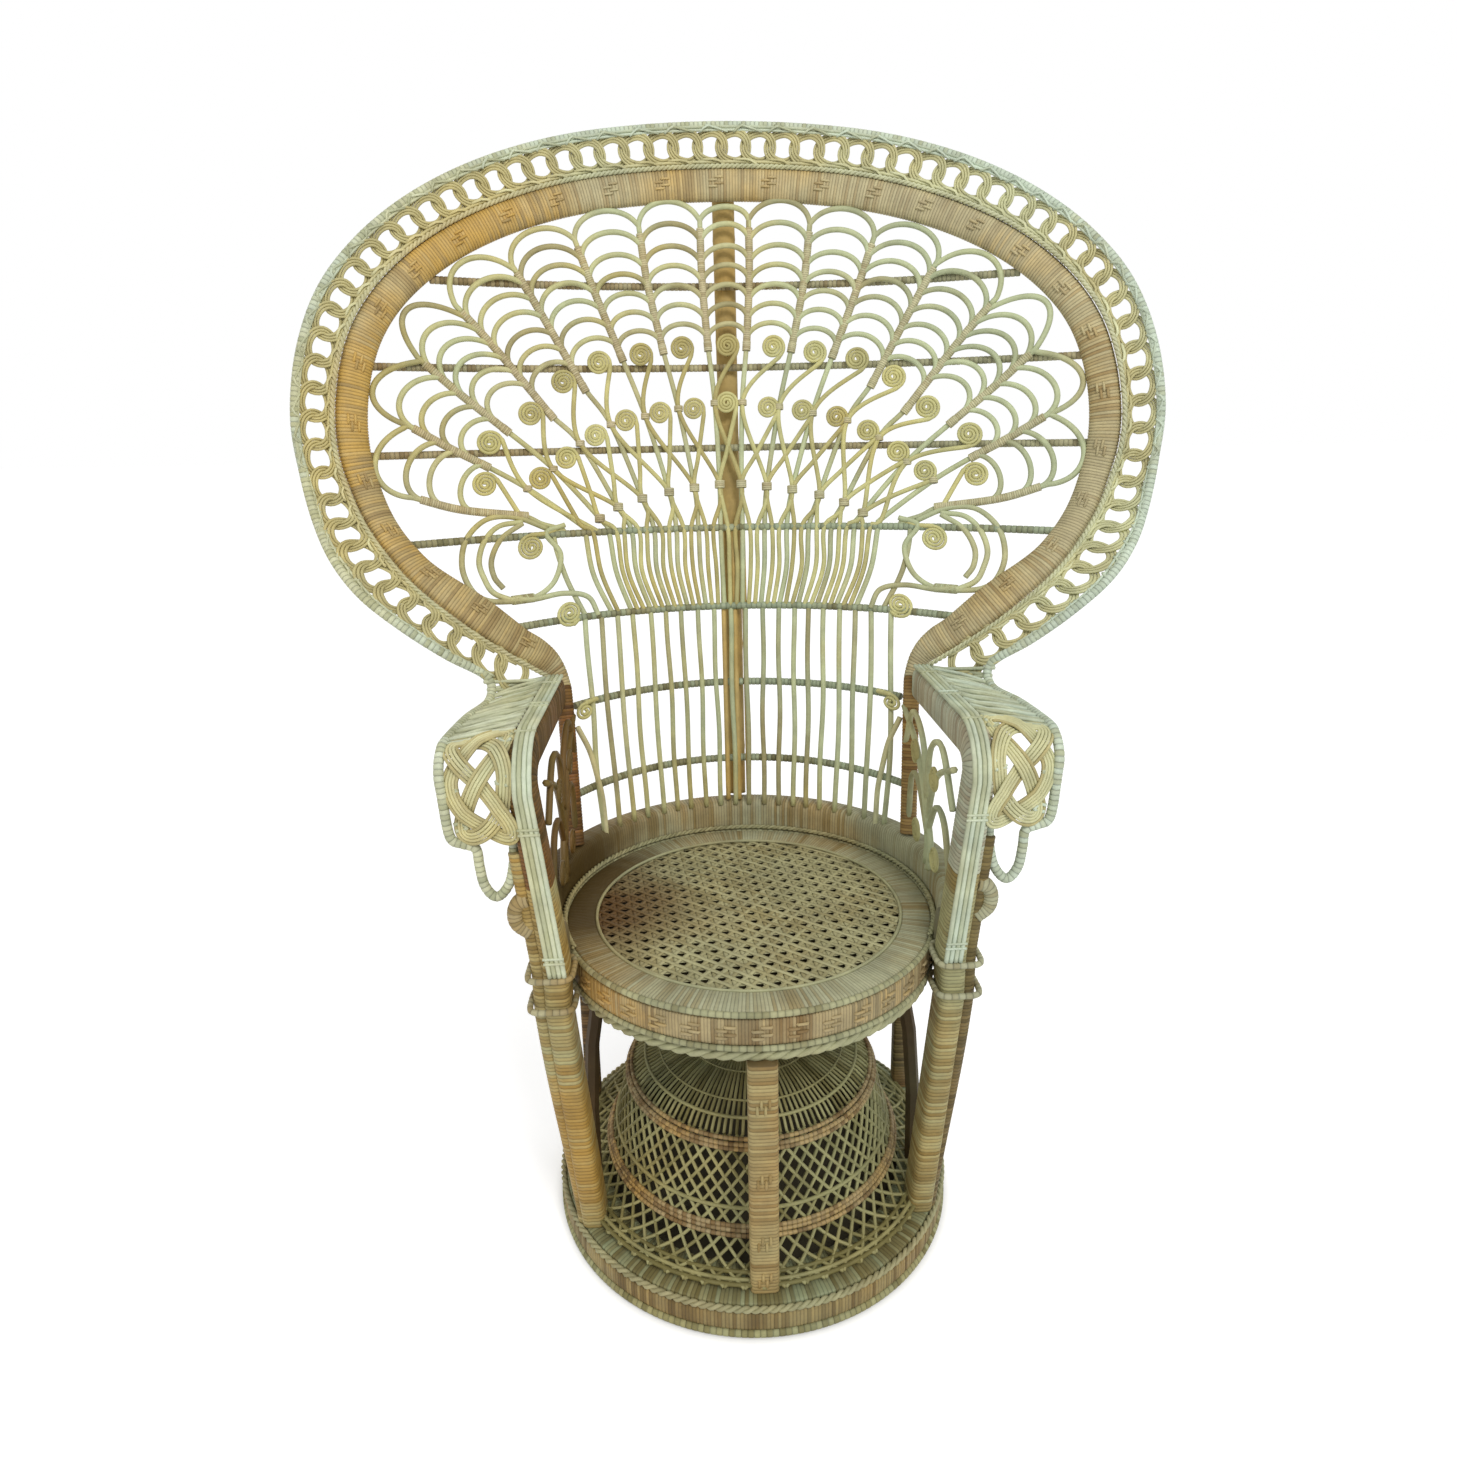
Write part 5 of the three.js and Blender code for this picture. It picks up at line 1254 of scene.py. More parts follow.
def add_spiral(strands, centre, radius, hand, tail, forward=0.004):
    """A spiral whose outer end runs off along the tail's points; hand is 1 for anticlockwise."""
    centre = np.asarray(centre, dtype=float)
    tail = np.atleast_2d(np.asarray(tail, dtype=float))
    away = tail[0] - centre
    reach = max(np.linalg.norm(away), radius * 1.02)
    start = math.atan2(away[1], away[0]) - hand * math.acos(min((radius - SPIRAL_REED) / reach, 1))
    coil = spiral(centre, radius, hand, start)
    off = smooth(np.vstack([coil[-6:-1:4], coil[-1:], tail]), 60)
    off = off[np.argmin(np.linalg.norm(off - coil[-1], axis=1)) + 1:]
    rows = np.vstack([coil, off])
    lift = np.concatenate([np.full(len(coil), forward), np.linspace(forward, 0.0025, len(off))])
    thickness = np.where(np.arange(len(rows)) < len(coil), SPIRAL_REED, REED * 0.9)
    strands.tube(on_back(rows, lift), thickness, 6)


# %% [markdown]
# ### The two rows of spirals
# The middles of the spirals were read from the photograph for one half and mirrored. All are wound
# the same way, apart from the two outermost ones, whose tails join the outer stem.

# %% Spirals of the fan
UPPER_SPIRALS = [(0, 1.100), (0.066, 1.097), (0.125, 1.088), (0.184, 1.077),
                 (0.234, 1.051), (0.279, 1.008), (0.333, 0.970), (0.341, 0.915)]
LOWER_SPIRALS = [(0.003, 1.020), (0.051, 1.012), (0.100, 1.007), (0.149, 0.997),
                 (0.192, 0.977), (0.233, 0.947), (0.269, 0.920)]
OUTERMOST, UPPER_RADIUS, LOWER_RADIUS = 0.0184, 0.0186, 0.0178

strands = Strands()
for feather in range(-FEATHER_REACH, FEATHER_REACH + 1):
    count, hand = abs(feather), 1 if feather > 0 else -1
    left, right = feather - 0.5, feather + 0.5
    x, z = UPPER_SPIRALS[count]
    upper = np.array([hand * x, z])
    if count == FEATHER_REACH:
        add_spiral(strands, upper, OUTERMOST, hand, stem_place(feather + hand * 0.5, [0.97, 1.0]))
        continue
    if abs(left) > FEATHER_REACH - 1:
        tail = [stem_tie(left, UPPER_TIE), strand_foot(2 * left + 1.2, COMB_RAIL + 1)]
    else:
        tail = [stem_tie(left, UPPER_TIE), stem_tie(right, LOWER_TIE), *strand_down(right, -1)]
    add_spiral(strands, upper, UPPER_RADIUS, -1, tail)
    x, z = LOWER_SPIRALS[count]
    lower = np.array([hand * x, z]) + [0.0 if feather <= 0 else 0.006, 0]
    tie = stem_tie(left, LOWER_TIE)
    tail = [lerp(tie, lower, 0.4) + [0.006, 0], tie, *strand_down(left, 1)]
    add_spiral(strands, lower, LOWER_RADIUS, -1, tail)
strands.finish("fan_spirals", SCROLL, (), "straw")

# %% [markdown]
# ## The side loops
# At each side five reeds bend round in loops and meet in one binding, with two spirals beside them
# and a smaller one lower down, near the leg. No rule gives such free curves, so each was drawn as
# a few points on the right, and the left is its mirror.

# %% Side loops between the third and fourth rails
LOOP_ROUTES = [
    [(0.262, 0.852), (0.302, 0.869), (0.339, 0.869), (0.363, 0.845),
     (0.365, 0.811), (0.350, 0.781), (0.330, 0.767), (0.300, 0.762)],
    [(0.294, 0.863), (0.324, 0.859), (0.341, 0.841), (0.346, 0.816),
     (0.338, 0.794), (0.326, 0.776), (0.304, 0.764)],
    [(0.294, 0.861), (0.320, 0.843), (0.331, 0.818), (0.327, 0.796), (0.315, 0.780)],
    [(0.238, 0.856), (0.263, 0.846), (0.244, 0.817), (0.252, 0.782), (0.277, 0.764), (0.306, 0.765)],
    [(0.300, 0.766), (0.277, 0.762), (0.240, 0.765), (0.208, 0.757), (0.194, 0.731)]]
LOOP_BINDING = (0.291, 0.7635)
# Middle, radius, hand, tail and step forward of each spiral on the right
SIDE_SPIRALS = [((0.282, 0.829), 0.0186, 1, [(0.262, 0.846), (0.244, 0.853)], 0.006),
                ((0.232, 0.738), 0.0178, -1, [(0.221, 0.729)], 0.006),
                ((0.212, 0.61), 0.0125, 1, [(0.198, 0.6205)], 0.009)]

for name, side in (("left", -1), ("right", 1)):
    mirror = np.array([side, 1])
    strands = Strands()
    for k, route in enumerate(LOOP_ROUTES):
        strands.tube(on_back(smooth(route * mirror, 50), 0.003 + 0.0007 * k), REED, 6)
    bind(strands, LOOP_BINDING * mirror, np.array([1.0, 0]), 0.026, 0.0066)
    strands.finish(f"side_loops_{name}_reeds", STRAW, [f"side_loops_{name}"], "straw")
    spirals = Strands()
    for middle, radius, hand, tail, forward in SIDE_SPIRALS:
        add_spiral(spirals, middle * mirror, radius, side * hand, tail * mirror, forward)
    spirals.finish(f"side_spirals_{name}", SCROLL, (), "straw")

# %% [markdown]
# ## The arms
# An arm is one bundle of poles. It rises from the base as a column, bends back over the seat and
# meets the hoop at its neck. A Blender curve could carry one bar, but five pieces follow this
# bend. So it is a table of stations: a place on the outside of the bend, and how far the bar has
# turned there from upright to level. `arm_point` measures from it, across the bar and into it.

# %% Stations of an arm
ARM_HEIGHT = float(node_box("arm_frame_right")[1][2])
ARM_FOOT_Z = float(node_box("arm_frame_right")[0][2])
ARM_WIDTH, ARM_THICKNESS, ARM_BEND = 0.044, 0.03, 0.056
ARM_REACH, ARM_SETBACK, ARM_FOOT_RADIUS = 0.234, 0.144, 0.208
ARM_AZIMUTH = math.radians(63.5)
WEB_BOTTOM = 0.54


def arm_stations():
    """Places on the outside of the arm's bend, each with its turn from upright to level."""
    foot = (ARM_FOOT_RADIUS * math.sin(ARM_AZIMUTH), -ARM_FOOT_RADIUS * math.cos(ARM_AZIMUTH) - ARM_WIDTH)
    hip_radius = SEAT_RADIUS + 0.0006
    hip = (hip_radius * math.sin(ARM_AZIMUTH), -hip_radius * math.cos(ARM_AZIMUTH) - ARM_WIDTH)
    shoulder = ARM_HEIGHT - ARM_BEND
    rows = [(*foot, ARM_FOOT_Z, 0), (*hip, 0.34, 0), (*hip, SEAT_HEIGHT, 0)]
    share = (WEB_BOTTOM - SEAT_HEIGHT) / (shoulder - SEAT_HEIGHT)
    rows.append((lerp(hip[0], ARM_REACH, share), lerp(hip[1], -ARM_SETBACK, share), WEB_BOTTOM, 0))
    for turn in np.linspace(0, math.pi / 2, 5):
        y = -ARM_SETBACK + ARM_BEND * (1 - math.cos(turn))
        rows.append((ARM_REACH, y, shoulder + ARM_BEND * math.sin(turn), turn))
    rear = float(back_depth(ARM_REACH + ARM_THICKNESS, ARM_HEIGHT)) - BAND_THICKNESS / 2
    for share in (0.33, 0.66, 1):
        rows.append((ARM_REACH, lerp(rows[8][1], rear, share), ARM_HEIGHT, math.pi / 2))
    return np.array(rows)


STATIONS = arm_stations()


def arm_point(rows, side, across, inward):
    x = side * (rows[:, 0] + across)
    y = rows[:, 1] + inward * np.cos(rows[:, 3])
    return np.stack([x, y, rows[:, 2] - inward * np.sin(rows[:, 3])], axis=1)


def dense_stations(rows, count):
    s = lengths(rows[:, :3])
    return read_off(np.linspace(0, s[-1], count), s, rows)


print("an arm is", round(float(lengths(STATIONS[:, :3])[-1]), 3), "m long from the base to the neck")

# %% [markdown]
# ### The wrapped bar
# The bar has four flat sides with soft corners. A bent box would need many cuts, so sections are
# set up from its four edges at 160 stations and wound with cane. It is one bar, but its finish
# changes at half a metre: pale and bloomed on the right arm, dark brown on the left one, partly
# old varnish and partly painted shade.

# %% Wrapped bar of the arm
COLUMN_TOP = 0.5
ARM_TURN, ARM_GROOVE = 0.0048, 0.0007
BAR_EDGES = ((0, 0), (ARM_THICKNESS, 0), (ARM_THICKNESS, ARM_WIDTH), (0, ARM_WIDTH))


def arm_bar(name, side):
    rows = dense_stations(STATIONS, 160)
    edges = [arm_point(rows, side, across, inward) for across, inward in BAR_EDGES]
    centre = sum(edges) / 4
    half_u = (edges[1] - edges[0]) / 2
    half_v = (edges[3] - edges[0]) / 2
    sections = section_rows(centre, half_u, half_v, 16, 0.5)
    split = int(np.argmax(centre[:, 2] > COLUMN_TOP))
    node = [f"arm_frame_{name}"]
    # the left arm's upper part gets the finish with painted shade
    upper = ARM_VARNISH_AND_SHADE if side < 0 else ARM_TAN
    wound(f"column_wrapping_{name}", sections[:split + 1], ARM_TURN, ARM_GROOVE, COLUMN, node)
    wound(f"arm_wrapping_{name}", sections[split:], ARM_TURN, ARM_GROOVE, upper, node)


# %% [markdown]
# ### The outer column and its knob
# Beside each column stands a second, round one, and above the seat a wound bow bulges out beside
# it like a knob. The solids leave both out, so they name no node. The column is a wrapped tube
# along the same stations, and the knob a short thick one along a bow.

# %% Outer column and knob
OUTER_COLUMN = 0.0105
OUTER_ASIDE, OUTER_INWARD = 0.003, 0.018
OUTER_LEAN = 0.007
# The bow of the knob, across and up in metres
KNOB = [(0.25, 0.484), (0.2605, 0.4805), (0.2655, 0.469), (0.263, 0.455), (0.25, 0.444)]
KNOB_RADIUS, KNOB_INWARD = 0.0094, 0.016


def outer_column(name, side):
    line = arm_point(dense_stations(STATIONS[:4], 60), side, ARM_THICKNESS + OUTER_ASIDE, OUTER_INWARD)
    line[:, 0] -= side * OUTER_LEAN * smoothstep(-line[:, 2], -0.3, -ARM_FOOT_Z)
    column = Strands()
    column.wrapped_tube(line, OUTER_COLUMN, ARM_TURN, 0.0006, sides=12, face=(1, 0, 0))
    # the right outer column gets the copy of the column colours with painted shade
    column.finish(f"outer_column_{name}", COLUMN if side < 0 else COLUMN_PAINTED_SHADE, (), "wrapped")
    level = arm_point(STATIONS[2:3], side, 0, KNOB_INWARD)[0, 1]
    bow = smooth([(side * x, level, z) for x, z in KNOB], 24)
    knob = Strands()
    knob.wrapped_tube(bow, KNOB_RADIUS, ARM_TURN, 0.0005, sides=10, face=(0, -1, 0))
    knob.finish(f"arm_knob_{name}", SEAT, (), "wrapped")


# %% [markdown]
# ### The edging
# Four pale reeds run side by side along the outside of each arm, and short wraps hold them down. A
# grooved strip would be simpler, but this is the brightest line of the chair, and light falls
# between the reeds. So they are separate tubes, at places from the arm's stations.

# %% Four reeds along the outside
EDGING_REED, EDGING_STEP, EDGING_START = 0.0027, 0.0053, 0.001
EDGING_WRAPS = (0.04, 0.05, 0.33, 0.345, 0.56, 0.73, 0.745, 0.93)
WRAP_REED, WRAP_WIDTH, WRAP_INWARD = 0.0016, 0.0235, -0.0048


def arm_edging(name, side):
    rows = dense_stations(STATIONS[2:], 90)
    strands = Strands()
    for k in range(4):
        line = arm_point(rows, side, EDGING_START + (k + 0.5) * EDGING_STEP, -EDGING_REED)
        strands.tube(line, EDGING_REED, 8, face=(0.3 * side, -1, 0.5))
    for share in EDGING_WRAPS:
        row = rows[int(share * (len(rows) - 1))][None]
        across = np.linspace(0, WRAP_WIDTH, 6)
        tie = np.vstack([arm_point(row, side, a, WRAP_INWARD) for a in across])
        strands.tube(tie, WRAP_REED, 5, face=(0, -1, 1))
    strands.finish(f"arm_edging_{name}_reeds", PALE, [f"arm_edging_{name}"], "pale")


# %% [markdown]
# ### The panel between arm and rim
# A knotted panel hangs between each arm and the rim, bent in two ways. It could be shaped as a
# mesh and then cut. Instead its surface is described by two lines, one along the bar and one along
# the rim, and every place is a share between them. What is woven on it can be drawn flat, as on
# the back.

# %% The panel's surface
WEB_WIDTH = 0.079
RIM_RADIUS = 0.0056
# How far the rim stands out and in at each station of the arm, as shares of the panel's width
RIM_WEB_SHARES = [(0.9, 0.26), (0.97, 0.22), (0.99, 0.2), (1, 0.18),
                  (1, 0.16), (0.99, 0.14), (0.9, 0.1), (0.76, 0.09)]


def rim_place(row, side, out, inward):
    return arm_point(row[None], side, ARM_THICKNESS + out * WEB_WIDTH - RIM_RADIUS, inward * WEB_WIDTH)[0]


def web_surface(side):
    """A function for places on the panel: along it, across it and above it, and its normals."""
    rows = STATIONS[3:3 + len(RIM_WEB_SHARES)]
    neck = -1 if side > 0 else 0
    bar = arm_point(rows, side, ARM_THICKNESS - 0.005, 0.0)
    rim = [rim_place(row, side, out, inward) for row, (out, inward) in zip(rows, RIM_WEB_SHARES)]
    inner = smooth(np.vstack([bar, on_back(BEAD_LINE)[neck]]), 120)
    outer = smooth(np.vstack([rim, rim_and_bead(80)[1][neck]]), 120)
    face = unit(np.cross(tangents((inner + outer) / 2), unit(outer - inner))) * side
    marks = np.arange(len(inner))

    def surface(along, across, height):
        at = along * marks[-1]
        low, high, normal = (read_off(at, marks, line) for line in (inner, outer, face))
        return low + (high - low) * np.asarray(across)[:, None] + normal * height[:, None], normal

    return surface


# %% [markdown]
# ### The knot
# The knot is one closed band of five reeds that crosses itself, over and under by turns. Real
# knots are plaited by eye. A curve of two sines, three waves across and two along, closes in
# itself and has seven crossings. The band is lifted at one pass of a crossing and pressed down at
# the other; the list says where the passes come on the curve.

# %% Knot of five reeds
KNOT_START, KNOT_END = 0.045, 0.41
KNOT_REED = 0.0019
KNOT_LIFT = 0.0032
# Where the knot's path crosses itself, in twelfths of half a turn: over and under by turns
KNOT_CROSSINGS = (1, 2, 5, 6, 7, 10, 11, 13, 14, 17, 18, 19, 22, 23)


def arm_knot(name, surface):
    t = np.linspace(0, 2 * np.pi, 241)[:-1]
    along = lerp(KNOT_START, KNOT_END, 0.5 + 0.47 * np.sin(2 * t))
    across = 0.47 + 0.4 * np.cos(3 * t)
    places = np.array([KNOT_CROSSINGS[-1] - 24, *KNOT_CROSSINGS, KNOT_CROSSINGS[0] + 24])
    signs = np.where(np.arange(len(places)) % 2 == 0, -1, 1)
    height = 0.001 + KNOT_LIFT * np.interp(t * 12 / np.pi, places, signs)
    centre, normal = surface(along, across, height)
    aside = unit(np.cross(tangents(centre, True), normal))
    strands = Strands()
    for j in range(5):
        strands.tube(centre + aside * (j - 2) * 2 * KNOT_REED, KNOT_REED, 6, face=normal, closed=True)
    strands.finish(f"arm_web_{name}_knot", KNOT, [f"arm_web_{name}"], "straw")


# %% [markdown]
# ### The ties of the panel
# Above the knot the panel is a lattice of thin reeds, and short ties hold the knot to bar and rim.
# A wireframe would lie in one layer. Here each row is two ties that cross, one over the other, and
# the next row crosses the other way.

# %% Crossing ties
PANEL_ROWS, PANEL_REED = 17, 0.0026
KNOT_TIE_REED = 0.0022


def panel_ties(name, surface):
    ties = Strands()

    def tie(along, across, lift, count, radius):
        rows, _ = surface(along, across, np.array([0, lift, 0]))
        ties.tube(smooth(rows, count), radius, 5)

    for k in range(PANEL_ROWS):
        along = KNOT_END + (1 - KNOT_END) * (k + np.array([0, 0.5, 1])) / PANEL_ROWS
        start, stop = (0.0, 1.0) if k % 2 else (1.0, 0.0)
        tie(along * 0.985, [start, 0.5, stop], 0.0035, 10, PANEL_REED)
        tie(along * 0.985, [stop, 0.5, start], -0.0015, 10, PANEL_REED)
    for share in (0.09, 0.22, 0.36):
        for shift in (-0.012, 0.012):
            along = np.array([share, share + shift, share + shift])
            tie(along, [0.76, 0.88, 0.97], 0.004, 6, KNOT_TIE_REED)
            tie(along, [0.2, 0.1, 0.02], 0.004, 6, KNOT_TIE_REED)
    ties.finish(f"arm_web_{name}_ties", PALE, (), "pale")


# %% [markdown]
# ## The rim
# One wrapped reed goes all the way round, from a bracket under the left arm, along the panel, over
# the hoop and down to the bracket on the right. Three pieces would show joints, so it is one path
# and one wrapped tube, a little inside the outline, so that its wrapping stays within the model's
# size.

# %% Rim of the hoop and the arms
RIM_TURN = 0.0062
RIM_INSET = 1.3
RIM_GROOVE = 0.0005
# The bracket under the right arm, across and up in metres: it leaves the arm, dips into a narrow
# bow and runs out to the rim
BRACKET = [(0.263, 0.55), (0.264, 0.528), (0.271, 0.5), (0.286, 0.484), (0.298, 0.498), (0.302, 0.523),
           (0.304, 0.543), (0.318, 0.549), (0.331, 0.558)]


def arm_rim(side):
    """The rim from the bracket under an arm up to the hoop's neck."""
    level = arm_point(STATIONS[3:4], side, ARM_THICKNESS, RIM_WEB_SHARES[0][1] * WEB_WIDTH)[0, 1]
    rows = [(side * x, level, z) for x, z in BRACKET]
    for row, (out, inward) in zip(STATIONS[4:], RIM_WEB_SHARES[1:]):
        rows.append(rim_place(row, side, out, inward))
    return np.array(rows)


bead, rim = rim_and_bead(33)
rim = rim + unit(bead - rim) * RIM_RADIUS * RIM_INSET
path = smooth(np.vstack([arm_rim(-1), rim, arm_rim(1)[::-1]]), 700)
strands = Strands()
strands.wrapped_tube(path, RIM_RADIUS, RIM_TURN, RIM_GROOVE, sides=9, face=(0, 1, 0.2))
strands.finish("hoop_rim_wrapping", PALE, ["hoop_rim"], "pale")

# %% [markdown]
# ## The scrolls under the arms
# The side under each arm is filled with curved reeds and four spirals. Both the column in front
# and the leg behind lean, so fixed places would miss them. The reeds are drawn as shares: across,
# from column to leg, and up, from curb to arm. Shares a little past 0 and 1 run the ends into the
# bars.

# %% Scrolls in the side under the arm
SCROLL_CURLS = [[(0.5, 0), (0.42, 0.2), (0.5, 0.42), (0.5, 0.6)],
                [(0.5, 0.5), (0.42, 0.86), (0.2, 0.97), (-0.02, 0.66)],
                [(0.5, 0.5), (0.58, 0.86), (0.8, 0.97), (1.02, 0.66)],
                [(0.5, 0.25), (0.3, 0.52), (0.12, 0.48), (-0.02, 0.12)],
                [(0.5, 0.25), (0.7, 0.52), (0.88, 0.48), (1.02, 0.12)],
                [(-0.02, 0.93), (0.3, 0.72), (0.5, 0.3), (0.45, 0.02)],
                [(1.02, 0.93), (0.7, 0.72), (0.5, 0.3), (0.55, 0.02)]]
SCROLL_MIDDLES = ((0.3, 0.72), (0.72, 0.72), (0.28, 0.18), (0.74, 0.16))
SCROLL_RADIUS = 0.0182


def in_the_side(shares, side, outward=0.0):
    """Shares across and up, as places between the column, the leg, the curb and the arm."""
    across, rise = np.array(shares).T
    z = lerp(CURB_TOP, ARM_HEIGHT - ARM_WIDTH, rise)
    front = np.interp(z, STATIONS[2:5, 2], STATIONS[2:5, 1]) + ARM_WIDTH
    up_the_leg = (z - LEG_FOOT[2]) / (LEG_HEAD[2] - LEG_FOOT[2])
    rear = lerp(LEG_FOOT[1], LEG_HEAD[1], up_the_leg) - LEG_WIDTH / 2
    return np.stack([np.full(len(z), side * (LEG_FOOT[0] - outward)), lerp(front, rear, across), z], axis=1)


def side_scrolls(name, side):
    strands, spirals = Strands(), Strands()
    for shares in SCROLL_CURLS:
        strands.tube(smooth(in_the_side(shares, side), 24), REED, 6, face=(1, 0, 0))
    for across, rise in SCROLL_MIDDLES:
        flat = spiral(np.zeros(2), SCROLL_RADIUS, 1 if across < 0.5 else -1, 0.0)
        coil = in_the_side([(across, rise)], side, 0.003) + np.insert(flat, 0, 0, axis=1)
        spirals.tube(coil, SPIRAL_REED, 6, face=(1, 0, 0))
    # the left side gets the copy of the scroll colours with painted shade
    reeds, coils = (SCROLL_PAINTED_SHADE, SCROLL_PAINTED_SHADE) if side < 0 else (STRAW, SCROLL)
    strands.finish(f"side_scrolls_{name}_reeds", reeds, [f"side_scrolls_{name}"], "straw")
    spirals.finish(f"side_scroll_spirals_{name}", coils, (), "straw")


# %% [markdown]
# ### Both arms
# The arms mirror each other in shape, so one loop makes all their pieces. Only the finishes
# differ.

# %% The pieces of both arms
for arm_name, arm_side in (("left", -1), ("right", 1)):
    arm_bar(arm_name, arm_side)
    outer_column(arm_name, arm_side)
    arm_edging(arm_name, arm_side)
    arm_knot(arm_name, web_surface(arm_side))
    panel_ties(arm_name, web_surface(arm_side))
    side_scrolls(arm_name, arm_side)

# %% [markdown]
# ## Rings of the seat and the base
# Seat, apron, curb and base are rings, wound across. An array modifier could repeat one turn round
# an empty; here the ring is one more station for `wrapped`, so that every turn has its own tint.
# Round reeds lie on the rings as beads.

# %% Ring helpers
def circle(radius, z, count=180, start=0.0, end=2 * math.pi):
    turn = np.linspace(start, end, count, endpoint=end - start < 2 * math.pi - 1e-6)
    return np.stack([radius * np.sin(turn), -radius * np.cos(turn), np.full(len(turn), z)], axis=1)


def rounded(inner, outer, low, high, count=12, power=0.4):
    """The section of a ring, as corners of radius and height."""
    u, v = superellipse(count, power)
    return np.stack([(inner + outer) / 2 + u * (outer - inner) / 2,
                     (low + high) / 2 + v * (high - low) / 2], axis=1)


def wound_ring(strands, outline, turn, depth, start=0.0, end=2 * math.pi):
    radius = outline[:, 0].max()
    length = radius * (end - start)
    closed = end - start > 2 * math.pi - 1e-6

    def station(places):
        angle = start + places / radius
        x = np.sin(angle)[:, None] * outline[None, :, 0]
        y = -np.cos(angle)[:, None] * outline[None, :, 0]
        return np.stack([x, y, np.broadcast_to(outline[None, :, 1], x.shape)], axis=-1)

    strands.wrapped(station, length, turn, depth, closed)


def wound_reed(strands, ring, radius, turn, depth, sides=8):
    """A closed level reed, wound with cane."""
    strands.wrapped_tube(ring, radius, turn, depth, sides=sides, closed=True, face=UP)


def ring_size(name):
    low, high = node_box(name)
    return (high[0] - low[0]) / 2, low[2], high[2]


# %% [markdown]
# ## The seat
# The seat is a wide woven ring with a bead above and below, an apron with small patches round its
# side, and a plaited rope under that. Radii and heights are read from the boxes of the nodes, so
# that each ring covers its solid.

# %% Rim, beads, apron and rope of the seat
CANE_RADIUS = float(node_box("cane_panel")[1][0])
APRON_PATCHES, APRON_THICKNESS = 38, 0.009
SEAT_TURN, APRON_TURN, SEAT_GROOVE = 0.0042, 0.0036, 0.0005
SEAT_BEAD_REED, SEAT_BEAD_TURN = 0.0034, 0.008
ROPE_RADIUS, ROPE_TWIST = 0.0078, 0.05

radius, low, high = ring_size("seat_rim")
rim = Strands()
wound_ring(rim, rounded(CANE_RADIUS, radius + 0.002, low, high, 10, 0.3), SEAT_TURN, SEAT_GROOVE)
rim.finish("seat_rim_weave", SEAT, ["seat_rim"], "cane")

for level in ("upper", "lower"):
    radius, low, high = ring_size(f"seat_{level}_cane")
    bead = Strands()
    ring = circle(radius - SEAT_BEAD_REED, (low + high) / 2 + 0.0006)
    wound_reed(bead, ring, SEAT_BEAD_REED, SEAT_BEAD_TURN, 0.0003)
    if level == "upper":
        bead.tube(circle(CANE_RADIUS - 0.001, high - 0.0008), 0.0021, 6, closed=True, face=UP)
    bead.finish(f"seat_{level}_bead", SEAT_BEAD, [f"seat_{level}_cane"], "pale")

radius, low, high = ring_size("apron_band")
apron = Strands()
outline = rounded(radius - APRON_THICKNESS, radius, low, high, 10, 0.3)
wound_ring(apron, outline, APRON_TURN, SEAT_GROOVE)
for turn in 2 * np.pi * np.arange(APRON_PATCHES) / APRON_PATCHES:
    out = np.array([math.sin(turn), -math.cos(turn), 0])
    way = np.array([math.cos(turn), math.sin(turn), 0])
    place = out * (radius - 0.0004) + [0, 0, (low + high) / 2]
    woven_patch(apron, place, way, UP, out, 0.013)
apron.finish("apron_wrapping", APRON, ["apron_band"], "wrapped")

radius, low, high = ring_size("seat_rope_edge")
rope = Strands()
line = circle(radius - 0.006, (low + high) / 2 - 0.001, 400)
rope.twisted(line, ROPE_RADIUS, 3, ROPE_TWIST, closed=True)
rope.finish("seat_rope", SEAT_BEAD, ["seat_rope_edge"], "pale")

# %% [markdown]
# ### The seat cane
# Strips run in pairs across and along, and single ones run on both diagonals and cut the corners
# of the openings, which makes them eight-sided. A picture with holes would do from afar. Here each
# strip is a flat tube that rises and falls, so that the weave is open. The holes are dark in the
# photograph, so a sheet in the colour of shade lies just under it, as painted shade.

# %% Seat cane
CANE_PITCH = 0.0195
CANE_TURN = math.radians(7)
STRIP_HALF, STRIP_THICKNESS = 0.003, 0.0007
CANE_LEVEL = SEAT_HEIGHT - 0.0046
DIAGONALS = ((math.pi / 4, 0.0017), (-math.pi / 4, 0.0022))


def cane_strip(strands, direction, offset, height, wave):
    half = math.sqrt(max(CANE_RADIUS ** 2 - offset ** 2, 0)) - 0.001
    if half < 0.01:
        return
    way = np.array([math.cos(direction), math.sin(direction), 0])
    side = np.array([-way[1], way[0], 0])
    s = np.linspace(-half, half, max(int(2 * half / (CANE_PITCH / 2)), 2) + 1)
    lift = height + 0.0004 * np.cos(s / CANE_PITCH * 2 * np.pi + wave)
    line = s[:, None] * way + offset * side + lift[:, None] * UP
    strands.tube(line, STRIP_HALF, 6, face=UP, flat=STRIP_THICKNESS / STRIP_HALF)


strands = Strands()
reach = int(CANE_RADIUS / CANE_PITCH) + 1
for i in range(-reach, reach):
    for aside in (-STRIP_HALF, STRIP_HALF):
        offset = (i + 0.5) * CANE_PITCH + aside
        cane_strip(strands, CANE_TURN, offset, CANE_LEVEL, 0)
        cane_strip(strands, CANE_TURN + math.pi / 2, offset, CANE_LEVEL + 0.0009, math.pi)
for i in range(-reach * 3 // 2, reach * 3 // 2):
    for direction, height in DIAGONALS:
        offset = (i + 0.5) * CANE_PITCH / math.sqrt(2)
        cane_strip(strands, CANE_TURN + direction, offset, CANE_LEVEL + height, 0)
strands.finish("seat_cane_weave", CANE, ["cane_panel"], "cane")

